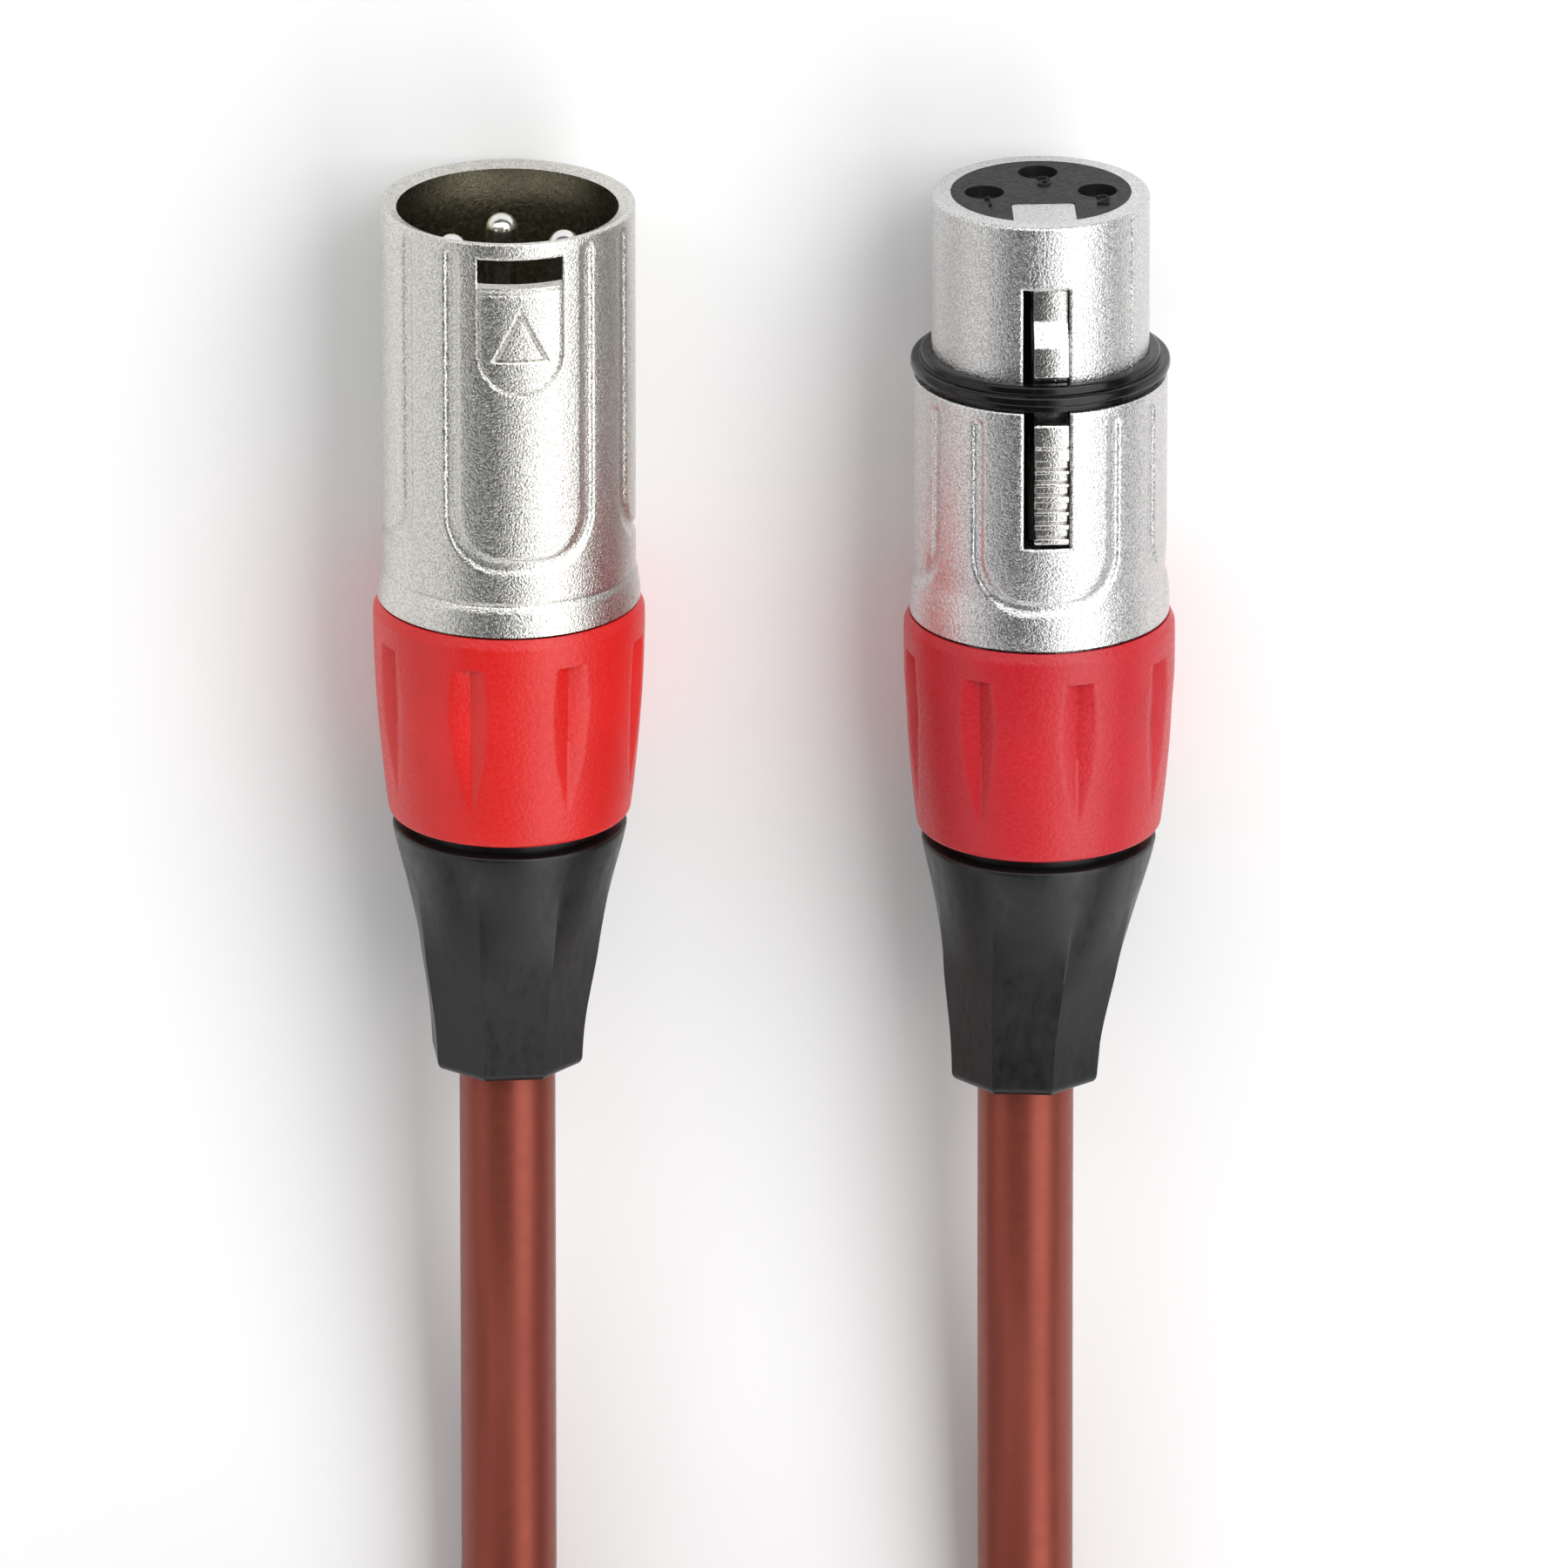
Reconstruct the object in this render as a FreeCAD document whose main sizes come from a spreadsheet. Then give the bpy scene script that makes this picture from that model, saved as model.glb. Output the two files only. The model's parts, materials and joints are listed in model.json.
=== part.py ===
import FreeCAD, Part
import math
import os
import Sketcher

# A balanced microphone cable lying on a flat surface: a male and a female 3-pin connector side by side,
# joined by one cable whose spare length is wound into a tied coil behind them.
# Millimetres. Row frame: +Z up, +Y the way both connectors mate, X across, z = 0 the surface.
# Each connector is drawn in its own frame: the origin is its mating face on its axis, "depth" runs
# towards -Y, and the latch side is +Z. A Placement then puts it in the row frame.

Vector = FreeCAD.Vector
os.makedirs("parts", exist_ok=True)
doc = FreeCAD.newDocument("microphone_cable")

# ---------------------------------------------------------------- driving dimensions
SIZES = {
    # where the connectors lie
    "axis_side": 19.5,  # each connector's axis, to one side of the middle
    "axis_height": 10.0,  # the axis above the surface, which is the nut's largest radius
    "male_face": 33.77,  # y of the male mating face
    "female_face": 34.55,  # y of the female mating face
    "male_roll": 6.5,  # how far each connector is turned about its axis, in degrees
    "female_roll": 2.6,
    # male shell
    "socket_mouth": 8.34,
    "socket_bore": 8.15,
    "socket_depth": 13.2,
    "male_rim": 9.37,
    "male_waist": 9.26,
    "male_waist_depth": 25.5,
    "male_step_depth": 28.3,
    "male_collar": 9.55,
    "male_shell_end": 30.5,
    "land_bore": 6.6,
    "land_end": 14.6,
    "rear_bore": 7.15,
    "tail_radius": 8.0,
    "tail_length": 6.5,
    "slot_half_width": 3.15,
    "slot_start": 1.26,
    "slot_end": 3.5,
    "tongue_end": 11.7,
    # contacts
    "contact_circle": 4.15,
    "pin_radius": 1.2,
    "pin_tip": 2.4,
    "pin_dome": 1.2,
    "pin_shank": 1.5,
    "pin_flange": 1.9,
    "pin_flange_start": 17.0,
    "cup_radius": 1.5,
    "cup_bore": 0.95,
    "cup_length": 3.5,
    "cup_depth": 3.0,
    "male_insert_end": 20.5,
    "male_insert_nose": 6.56,
    "male_insert_body": 7.12,
    "socket_bore_radius": 1.22,
    "socket_tube": 1.75,
    "socket_start": 1.0,
    "socket_drill_end": 13.0,
    "mouth_radius": 1.45,
    # female shell
    "nose_radius": 7.975,
    "nose_bore": 6.62,
    "nose_end": 14.0,
    "sleeve_radius": 9.34,
    "sleeve_waist": 9.26,
    "sleeve_waist_depth": 28.7,
    "sleeve_flare": 9.55,
    "female_shell_end": 32.4,
    "flange_seat": 15.5,
    "key_floor": 2.6,
    "key_length": 2.6,
    "key_half_width": 2.33,
    "window_half_width": 1.7,
    "window_start": 4.9,
    "window_end": 24.5,
    "female_insert_radius": 6.6,
    "female_insert_end": 17.5,
    # sealing ring
    "ring_start": 12.05,
    "ring_collar": 8.75,
    "ring_flange": 9.52,
    "ring_flange_start": 12.6,
    "ring_flange_end": 13.35,
    # latch
    "latch_width": 2.57,
    "pivot_depth": 4.0,
    "pivot_height": 5.4,
    "pivot_bore": 0.55,
    "pivot_pin": 0.5,
    "pivot_pin_length": 5.9,
    "hook_height": 8.6,
    "bridge_top": 7.5,
    "bridge_floor": 6.2,
    "tab_top": 9.4,
    "tab_floor": 8.1,
    "tab_end": 24.0,
    "spring_width": 1.8,
    "latch_shift": 0.35,  # the latch sits to one side of its window
    # nut
    "nut_front": 9.85,
    "nut_belly": 10.0,
    "nut_back": 8.93,
    "nut_bevel": 0.55,
    "nut_belly_depth": 1.5,
    "nut_length": 16.6,
    "nut_thread": 8.08,
    "nut_lip": 7.6,
    "nut_lip_start": 10.1,
    "nut_barrel": 144.0,
    "flute_depth": 0.42,
    "flute_start": 2.4,
    "flute_end": 13.8,
    "flute_half_width": 1.25,
    "male_nut_start": 30.7,
    "female_nut_start": 32.6,
    "male_flute_turn": 28.0,
    "female_flute_turn": 17.0,
    # boot, measured from the nut's front edge
    "boot_flange": 7.95,
    "boot_neck": 7.5,
    "boot_seat": 6.65,
    "boot_flange_start": 8.5,
    "boot_flange_end": 10.0,
    "boot_skirt_start": 17.2,
    "boot_top": 8.75,
    "boot_shoulder": 7.72,
    "boot_shoulder_depth": 4.5,
    "boot_waist": 6.7,
    "boot_waist_depth": 11.5,
    "boot_tip": 5.7,
    "boot_length": 19.3,
    "boot_bore": 3.8,
    "facet_tip": 5.2,
    "facet_top": 8.05,
    "facet_top_depth": 3.4,
    "facet_middle": 6.2,
    "facet_middle_depth": 11.5,
    "male_boot_turn": 6.0,
    "female_boot_turn": -3.0,
    # cable clamp chuck, measured from the nut's front edge
    "chuck_radius": 7.1,
    "chuck_start": -1.2,
    "chuck_taper_start": 5.3,
    "chuck_end": 10.3,
    "chuck_back": 6.2,
    "chuck_slot_half_width": 0.4,
    "chuck_slot_start": 2.0,
    # cable
    "cord_radius": 3.55,
    "jacket_start": -2.2,
    "core_radius": 0.75,
    "drain_radius": 0.55,
    "sleeve_outer": 0.85,
    # coil and tie
    "coil_middle_y": -141.0,
    "coil_lift": 0.9,
    "coil_outer_turn": 38.65,
    "tie_width": 12.0,
    "tie_thick": 0.9,
    "tie_inner_gap": 0.75,
}

sheet = doc.addObject("Spreadsheet::Sheet", "size")
for row, (alias, number) in enumerate(SIZES.items(), 1):
    sheet.set(f"A{row}", alias)
    sheet.set(f"B{row}", str(number))
    sheet.setAlias(f"B{row}", alias)
doc.recompute()


def amount(text):
    """The number that a sum of aliases and plain numbers, such as "nose_end - 0.2", comes to."""
    total, sign = 0.0, 1
    for word in text.split():
        if word in ("+", "-"):
            sign = 1 if word == "+" else -1
        else:
            total += sign * (SIZES[word] if word in SIZES else float(word))
    return total


def bound(text):
    """The same sum as a FreeCAD expression that reads the sheet."""
    return " ".join(f"size.{word}" if word in SIZES else word for word in text.split())


# ---------------------------------------------------------------- sketches and features
def new_body(name):
    body = doc.addObject("PartDesign::Body", name)
    body.Label = name
    return body


def new_sketch(body, name, plane, offset=None):
    sketch = body.newObject("Sketcher::SketchObject", name)
    base = [f for f in body.Origin.OriginFeatures if f.Role == plane][0]
    sketch.AttachmentSupport = [(base, "")]
    sketch.MapMode = "FlatFace"
    if offset is not None:
        sketch.AttachmentOffset = FreeCAD.Placement(Vector(0, 0, amount(offset)), FreeCAD.Rotation())
        sketch.setExpression("AttachmentOffset.Base.z", bound(offset))
    return sketch


def pin_point(sketch, edge, end, across, up):
    """Ties one point to two sheet sums. A leading minus sign in a sum's value measures it the other way."""
    for kind, axis, text in (("DistanceX", -2, across), ("DistanceY", -1, up)):
        number = amount(text)
        if abs(number) < 1e-9:
            sketch.addConstraint(Sketcher.Constraint("PointOnObject", edge, end, axis))
        elif number > 0:
            index = sketch.addConstraint(Sketcher.Constraint(kind, -1, 1, edge, end, number))
            sketch.setExpression(f"Constraints[{index}]", bound(text))
        else:
            index = sketch.addConstraint(Sketcher.Constraint(kind, edge, end, -1, 1, -number))
            sketch.setExpression(f"Constraints[{index}]", f"-({bound(text)})")


def negative(text):
    """The sum with every sign turned, for a depth that runs towards -Y."""
    words = text.split()
    if words[0] not in ("+", "-"):
        words.insert(0, "+")
    return " ".join({"+": "-", "-": "+"}.get(word, word) for word in words)


def edge_ends(sketch, edge, last):
    """Which of an edge's own ends, 1 or 2, is its last point, and which its first. Arcs may be stored reversed."""
    reversed_arc = sketch.Geometry[edge].StartPoint.distanceToPoint(last) < 1e-6
    return (1, 2) if reversed_arc else (2, 1)


def outline(sketch, points):
    """A closed outline. A point is (across, up), or (across, up, radius) where an arc leads to it."""
    corners = [Vector(amount(p[0]), amount(p[1]), 0) for p in points]
    for i, point in enumerate(points):
        here, before = corners[i], corners[i - 1]
        if len(point) == 3:
            radius = amount(point[2])
            half = (here - before) * 0.5
            sagitta = radius - math.sqrt(max(radius**2 - half.Length**2, 0))
            side = Vector(half.y, -half.x, 0).normalize()
            sketch.addGeometry(Part.Arc(before, before + half + side * sagitta, here), False)
        else:
            sketch.addGeometry(Part.LineSegment(before, here), False)
    count = len(points)
    for i, point in enumerate(points):
        end, start = edge_ends(sketch, i, corners[i])
        before_end, _ = edge_ends(sketch, (i - 1) % count, corners[i - 1])
        pin_point(sketch, i, end, point[0], point[1])
        sketch.addConstraint(Sketcher.Constraint("Coincident", (i - 1) % count, before_end, i, start))
        if len(point) == 3:
            index = sketch.addConstraint(Sketcher.Constraint("Radius", i, amount(point[2])))
            sketch.setExpression(f"Constraints[{index}]", bound(point[2]))
    return sketch


def circles(sketch, spots):
    """Circles (across, up, radius) of one sketch."""
    for i, (across, up, radius) in enumerate(spots):
        centre = Vector(amount(across), amount(up), 0)
        sketch.addGeometry(Part.Circle(centre, Vector(0, 0, 1), amount(radius)), False)
        pin_point(sketch, i, 3, across, up)
        index = sketch.addConstraint(Sketcher.Constraint("Radius", i, amount(radius)))
        sketch.setExpression(f"Constraints[{index}]", bound(radius))
    return sketch


def turned(body, name, points, kind="PartDesign::Revolution"):
    """A piece turned about its connector's axis, from (radius, depth) points."""
    half = [(p[0], negative(p[1])) + tuple(p[2:]) for p in points]
    sketch = outline(new_sketch(body, name + "_outline", "XY_Plane"), half)
    feature = body.newObject(kind, name)
    feature.Profile = sketch
    feature.ReferenceAxis = (sketch, ["V_Axis"])
    feature.Angle = 360
    sketch.Visibility = False
    return feature


def run_along(body, name, sketch, length, kind):
    """A pad, or a pocket, of a sketch that faces along the axis, from the sketch towards greater depth."""
    feature = body.newObject(kind, name)
    feature.Profile = sketch
    feature.Length = amount(length)
    feature.setExpression("Length", bound(length))
    feature.Reversed = kind == "PartDesign::Pocket"
    return feature


def drill(body, name, spots, start, length):
    sketch = circles(new_sketch(body, name + "_circles", "XZ_Plane", start), spots)
    return run_along(body, name, sketch, length, "PartDesign::Pocket")


def block(body, name, low, high, depth, length, half_width, kind):
    """A rectangular pad or pocket: |x| up to half_width, z from low to high, over a stretch of depth."""
    corners = [(half_width, low), (half_width, high), ("- " + half_width, high), ("- " + half_width, low)]
    sketch = outline(new_sketch(body, name + "_outline", "XZ_Plane", depth), corners)
    return run_along(body, name, sketch, length, kind)


def side_profile(body, name, points, width, kind="PartDesign::Pad"):
    """A pad or pocket of a (depth, height) outline, spread evenly to both sides of x = 0."""
    corners = [(negative(p[0]), p[1]) for p in points]
    sketch = outline(new_sketch(body, name + "_outline", "YZ_Plane"), corners)
    feature = body.newObject(kind, name)
    feature.Profile = sketch
    feature.Length = amount(width)
    feature.setExpression("Length", bound(width))
    feature.Midplane = True
    return feature


def all_round(body, name, feature, count):
    """Repeats a feature about the connector's axis."""
    pattern = body.newObject("PartDesign::PolarPattern", name)
    pattern.Originals = [feature]
    pattern.Axis = ([f for f in body.Origin.OriginFeatures if f.Role == "Y_Axis"][0], [""])
    pattern.Angle = 360
    pattern.Occurrences = count
    body.Tip = pattern
    return pattern


# ---------------------------------------------------------------- placing
ENDS = {
    "male": {"x": "- axis_side", "face": "male_face", "roll": "male_roll", "nut": "male_nut_start"},
    "female": {"x": "axis_side", "face": "female_face", "roll": "female_roll", "nut": "female_nut_start"},
}
nodes = []


def seat(piece, end, roll=None, offset=(0, 0), depth="0"):
    """Puts a piece drawn in a connector's frame into the row frame, and lists it as a node."""
    place = ENDS[end]
    angle = amount(place["roll"] if roll is None else roll)
    turn = FreeCAD.Rotation(Vector(0, 1, 0), angle)
    middle = Vector(amount(place["x"]), amount(place["face"]), SIZES["axis_height"])
    shift = turn.multVec(Vector(offset[0], -amount(depth), offset[1]))
    piece.Placement = FreeCAD.Placement(middle + shift, turn)
    nodes.append(piece)
    return piece


def contact_spots(end):
    """The three contacts' centres. The male face is the female face's mirror image."""
    ring = SIZES["contact_circle"]
    side = 1 if end == "male" else -1
    return [(side * ring, 0), (-side * ring, 0), (0, -ring)]


# ---------------------------------------------------------------- shells
def make_male_shell():
    body = new_body("male_shell")
    turned(body, "male_shell_turned", [
        ("socket_mouth", "0"),
        ("male_rim - 0.18", "0"),
        ("male_rim", "0.2"),
        ("male_waist", "male_waist_depth"),
        ("male_waist", "male_step_depth - 0.1"),
        ("male_collar - 0.12", "male_step_depth"),
        ("male_collar", "male_shell_end"),
        ("tail_radius", "male_shell_end"),
        ("tail_radius", "male_shell_end + tail_length"),
        ("rear_bore", "male_shell_end + tail_length"),
        ("rear_bore", "land_end"),
        ("land_bore", "land_end"),
        ("land_bore", "socket_depth"),
        ("socket_bore", "socket_depth"),
        ("socket_bore", "0.2"),
    ])
    block(body, "latch_slot", "6", "11", "slot_start", "slot_end - slot_start", "slot_half_width",
          "PartDesign::Pocket")
    block(body, "tongue", "male_rim - 0.75", "11", "slot_end", "tongue_end - slot_end - slot_half_width",
          "slot_half_width", "PartDesign::Pocket")
    return seat(body, "male")


def make_female_shell():
    body = new_body("female_shell")
    turned(body, "female_shell_turned", [
        ("nose_bore", "0"),
        ("nose_radius - 0.3", "0"),
        ("nose_radius", "0.3"),
        ("nose_radius", "nose_end"),
        ("sleeve_radius", "nose_end"),
        ("sleeve_radius", "sleeve_waist_depth - 2"),
        ("sleeve_waist", "sleeve_waist_depth"),
        ("sleeve_flare", "female_shell_end - 1"),
        ("sleeve_flare", "female_shell_end"),
        ("tail_radius", "female_shell_end"),
        ("tail_radius", "female_shell_end + tail_length"),
        ("rear_bore", "female_shell_end + tail_length"),
        ("rear_bore", "flange_seat"),
        ("nose_bore", "flange_seat"),
    ])
    block(body, "key_block", "key_floor", "nose_bore - 0.2", "0", "key_length", "key_half_width",
          "PartDesign::Pad")
    block(body, "latch_window", "5", "11", "window_start", "window_end - window_start",
          "window_half_width", "PartDesign::Pocket")
    return seat(body, "female")


# ---------------------------------------------------------------- inserts and contacts
def make_male_insert():
    body = new_body("male_insert")
    turned(body, "male_insert_turned", [
        ("0", "socket_depth"),
        ("male_insert_nose", "socket_depth"),
        ("male_insert_nose", "land_end"),
        ("male_insert_body", "land_end"),
        ("male_insert_body", "male_insert_end"),
        ("0", "male_insert_end"),
    ])
    spots = [(str(x), str(z), "pin_shank") for x, z in contact_spots("male")]
    drill(body, "pin_holes", spots, "socket_depth", "male_insert_end - socket_depth")
    spots = [(str(x), str(z), "pin_flange") for x, z in contact_spots("male")]
    drill(body, "flange_holes", spots, "pin_flange_start", "male_insert_end - pin_flange_start")
    return seat(body, "male")


def make_male_pin(number, spot):
    body = new_body(f"male_pin_{number}")
    turned(body, f"male_pin_{number}_turned", [
        ("0", "pin_tip"),
        ("pin_radius", "pin_tip + pin_dome", "pin_radius"),
        ("pin_radius", "socket_depth"),
        ("pin_shank", "socket_depth"),
        ("pin_shank", "pin_flange_start"),
        ("pin_flange", "pin_flange_start"),
        ("pin_flange", "male_insert_end"),
        ("cup_radius", "male_insert_end"),
        ("cup_radius", "male_insert_end + cup_length"),
        ("0", "male_insert_end + cup_length"),
    ])
    drill(body, f"cup_{number}", [("0", "0", "cup_bore")],
          "male_insert_end + cup_length - cup_depth", "cup_depth")
    return seat(body, "male", offset=spot)


def make_female_insert():
    body = new_body("female_insert")
    turned(body, "female_insert_turned", [
        ("0", "0"),
        ("female_insert_radius", "0"),
        ("female_insert_radius", "flange_seat"),
        ("male_insert_body", "flange_seat"),
        ("male_insert_body", "female_insert_end"),
        ("0", "female_insert_end"),
    ])
    block(body, "latch_channel", "key_floor", "9", "0", "female_insert_end", "key_half_width",
          "PartDesign::Pocket")
    spots = [(str(x), str(z), "mouth_radius") for x, z in contact_spots("female")]
    drill(body, "mouths", spots, "0", "socket_start")
    spots = [(str(x), str(z), "socket_tube") for x, z in contact_spots("female")]
    drill(body, "socket_holes", spots, "socket_start", "female_insert_end - socket_start")
    cross = circles(new_sketch(body, "pivot_holes_circles", "YZ_Plane"),
                    [("- pivot_depth", "pivot_height", "pivot_pin")])
    holes = body.newObject("PartDesign::Pocket", "pivot_holes")
    holes.Profile = cross
    holes.setExpression("Length", "size.pivot_pin_length")
    holes.Midplane = True
    return seat(body, "female")


def make_female_socket(number, spot):
    body = new_body(f"female_socket_{number}")
    turned(body, f"female_socket_{number}_turned", [
        ("socket_bore_radius", "socket_start"),
        ("socket_tube", "socket_start"),
        ("socket_tube", "female_insert_end"),
        ("cup_radius", "female_insert_end"),
        ("cup_radius", "female_insert_end + cup_length"),
        ("0", "female_insert_end + cup_length"),
        ("0", "socket_drill_end + 0.6"),
        ("socket_bore_radius", "socket_drill_end"),
    ])
    drill(body, f"socket_cup_{number}", [("0", "0", "cup_bore")],
          "female_insert_end + cup_length - cup_depth", "cup_depth")
    return seat(body, "female", offset=spot)


def make_ground_spring(end, insert_end):
    """A strip against the shell's rear bore, on the side away from the latch, clipped behind the insert."""
    body = new_body(f"{end}_ground_spring")
    turned(body, f"{end}_ground_ring", [
        ("rear_bore - 0.3", insert_end),
        ("rear_bore", insert_end),
        ("rear_bore", insert_end + " + 4.5"),
        ("rear_bore - 0.3", insert_end + " + 4.5"),
    ])
    block(body, f"{end}_ground_cut", "- 5.6", "9", insert_end, "5", "8", "PartDesign::Pocket")
    return seat(body, end)


# ---------------------------------------------------------------- latch
def make_latch():
    body = new_body("female_latch")
    side_profile(body, "latch_lever", [
        ("3", "6.1"),
        ("4.8", "6.1"),
        ("5.5", "7.2"),
        ("7.4", "7.35"),
        ("9.2", "hook_height"),
        ("10.6", "hook_height"),
        ("10.8", "bridge_top"),
        ("14.4", "bridge_top"),
        ("15", "tab_top - 0.1"),
        ("tab_end", "tab_top"),
        ("tab_end", "tab_floor"),
        ("15.9", "tab_floor"),
        ("15", "bridge_floor"),
        ("5.7", "bridge_floor"),
        ("5", "4.4"),
        ("3", "4.4"),
    ], "latch_width")
    for i, start in enumerate(("18.7", "20.5", "22.3")):
        side_profile(body, f"grip_{i}", [
            (start, "tab_top - 0.35"),
            (start + " + 0.7", "tab_top - 0.35"),
            (start + " + 0.9", "tab_top + 0.5"),
            (start + " - 0.2", "tab_top + 0.5"),
        ], "4", "PartDesign::Pocket")
    cross = circles(new_sketch(body, "pivot_bore_circle", "YZ_Plane"),
                    [("- pivot_depth", "pivot_height", "pivot_bore")])
    hole = body.newObject("PartDesign::Pocket", "pivot_bore_cut")
    hole.Profile = cross
    hole.Length = 6
    hole.Midplane = True
    return seat(body, "female", offset=(SIZES["latch_shift"], 0))


def make_latch_pin():
    body = new_body("female_latch_pin")
    cross = circles(new_sketch(body, "latch_pin_circle", "YZ_Plane"),
                    [("- pivot_depth", "pivot_height", "pivot_pin")])
    rod = body.newObject("PartDesign::Pad", "latch_pin_rod")
    rod.Profile = cross
    rod.setExpression("Length", "size.pivot_pin_length")
    rod.Midplane = True
    return seat(body, "female")


def make_latch_spring():
    """A leaf spring: a foot on the channel's floor, and an arm that rises to the lever's underside."""
    body = new_body("female_latch_spring")
    side_profile(body, "leaf", [
        ("5.5", "key_floor"),
        ("8.2", "key_floor"),
        ("13.6", "bridge_floor - 0.3"),
        ("14.4", "bridge_floor - 0.3"),
        ("14.4", "bridge_floor - 0.05"),
        ("13.45", "bridge_floor - 0.05"),
        ("8.05", "key_floor + 0.25"),
        ("5.5", "key_floor + 0.25"),
    ], "spring_width")
    return seat(body, "female")


def make_ring():
    body = new_body("female_ring")
    turned(body, "female_ring_turned", [
        ("nose_radius", "ring_start"),
        ("ring_collar - 0.15", "ring_start"),
        ("ring_collar", "ring_start + 0.15"),
        ("ring_collar", "ring_flange_start"),
        ("ring_flange - 0.2", "ring_flange_start"),
        ("ring_flange", "ring_flange_start + 0.2"),
        ("ring_flange", "ring_flange_end - 0.2"),
        ("ring_flange - 0.2", "ring_flange_end"),
        ("sleeve_radius - 0.35", "ring_flange_end"),
        ("sleeve_radius - 0.35", "nose_end"),
        ("nose_radius", "nose_end"),
    ])
    return seat(body, "female")


# ---------------------------------------------------------------- nut, boot and chuck
def make_nut(end, turn):
    start = ENDS[end]["nut"]
    body = new_body(f"{end}_nut")
    turned(body, f"{end}_nut_turned", [
        ("nut_thread", start),
        ("nut_front - nut_bevel", start),
        ("nut_front", start + " + nut_bevel"),
        ("nut_belly", start + " + nut_belly_depth"),
        ("nut_back", start + " + nut_length", "nut_barrel"),
        ("nut_lip", start + " + nut_length"),
        ("nut_lip", start + " + nut_lip_start"),
        ("nut_thread", start + " + nut_lip_start"),
    ])
    sketch = outline(new_sketch(body, f"{end}_flute_outline", "XZ_Plane", start + " + flute_start"), [
        ("0", "nut_belly - flute_depth"),
        ("flute_half_width", "nut_belly + 0.3"),
        ("- flute_half_width", "nut_belly + 0.3"),
    ])
    flute = run_along(body, f"{end}_flute", sketch, "flute_end - flute_start", "PartDesign::Pocket")
    all_round(body, f"{end}_flutes", flute, 8)
    return seat(body, end, roll=turn)


def make_boot(end, turn):
    front = ENDS[end]["nut"] + " + "
    skirt = front + "boot_skirt_start + "
    back = front + "boot_skirt_start + boot_length"
    body = new_body(f"{end}_boot")
    turned(body, f"{end}_boot_turned", [
        ("boot_seat", front + "boot_flange_start"),
        ("boot_flange", front + "boot_flange_start"),
        ("boot_flange", front + "boot_flange_end"),
        ("boot_neck", front + "boot_flange_end"),
        ("boot_neck", front + "boot_skirt_start"),
        ("boot_top - 0.25", front + "boot_skirt_start"),
        ("boot_top", skirt + "0.3"),
        ("boot_shoulder", skirt + "boot_shoulder_depth"),
        ("boot_waist", skirt + "boot_waist_depth"),
        ("boot_tip", back + " - 0.4"),
        ("boot_tip - 0.4", back),
        ("boot_bore", back),
        ("boot_bore", front + "boot_skirt_start + 3"),
        ("chuck_back + 0.15", front + "chuck_end + 1.5"),
        ("chuck_back + 0.15", front + "chuck_end + 0.1"),
    ])
    beyond = "boot_top + 2"
    facet = side_profile(body, f"{end}_facet", [
        (skirt + "facet_top_depth", "facet_top"),
        (skirt + "facet_middle_depth", "facet_middle"),
        (back + " + 1", "facet_tip"),
        (back + " + 1", beyond),
        (skirt + "facet_top_depth", beyond),
    ], "9", "PartDesign::Pocket")
    all_round(body, f"{end}_facets", facet, 8)
    return seat(body, end, roll=turn)


def make_chuck(end):
    front = ENDS[end]["nut"] + " + "
    body = new_body(f"{end}_chuck")
    turned(body, f"{end}_chuck_turned", [
        ("cord_radius", front + "chuck_start"),
        ("chuck_radius", front + "chuck_start"),
        ("chuck_radius", front + "chuck_taper_start"),
        ("chuck_back", front + "chuck_end"),
        ("cord_radius", front + "chuck_end"),
    ])
    slot = block(body, f"{end}_chuck_slot", "cord_radius - 1", "chuck_radius + 1", front + "chuck_slot_start",
                 "chuck_end - chuck_slot_start", "chuck_slot_half_width", "PartDesign::Pocket")
    all_round(body, f"{end}_chuck_slots", slot, 4)
    return seat(body, end)


# ---------------------------------------------------------------- cable
def rounded_path(points, radii=None):
    """Straight runs joined by tangent arcs. Each arc takes 0.45 of its shorter run."""
    spots = [Vector(*p) for p in points]
    edges, start = [], spots[0]
    for before, corner, after in zip(spots, spots[1:], spots[2:]):
        back, on = (before - corner), (after - corner)
        reach = 0.45 * min(back.Length, on.Length)
        half = (math.pi - back.getAngle(on)) / 2
        if radii is not None:
            radii.append(reach / math.tan(half))
        into = corner + Vector(back).normalize() * reach
        out = corner + Vector(on).normalize() * reach
        to_middle = (into + out) * 0.5 - corner
        radius = reach / math.tan(half)
        middle = corner + Vector(to_middle).normalize() * (radius / math.cos(half) - radius)
        edges.append(Part.LineSegment(start, into).toShape())
        edges.append(Part.Arc(into, middle, out).toShape())
        start = out
    edges.append(Part.LineSegment(start, spots[-1]).toShape())
    return Part.Wire(edges)


def tube(name, points, radius, report=False):
    """A round cord along its route, checked against its section times its length."""
    radii = []
    path = rounded_path(points, radii)
    first = Vector(*points[1]) - Vector(*points[0])
    ring = Part.Wire(Part.Circle(Vector(*points[0]), first, radius).toShape())
    solid = path.makePipeShell([ring], True, False)
    expected = math.pi * radius**2 * path.Length
    if abs(solid.Volume / expected - 1) > 0.02:
        raise ValueError(f"{name}: volume {solid.Volume:.1f}, section times length {expected:.1f}")
    if report:
        print(f"{name}: length {path.Length:.1f}, radii {[round(r, 1) for r in radii]}")
    piece = doc.addObject("Part::Feature", name)
    piece.Shape = solid
    piece.Label = name
    return piece


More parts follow.
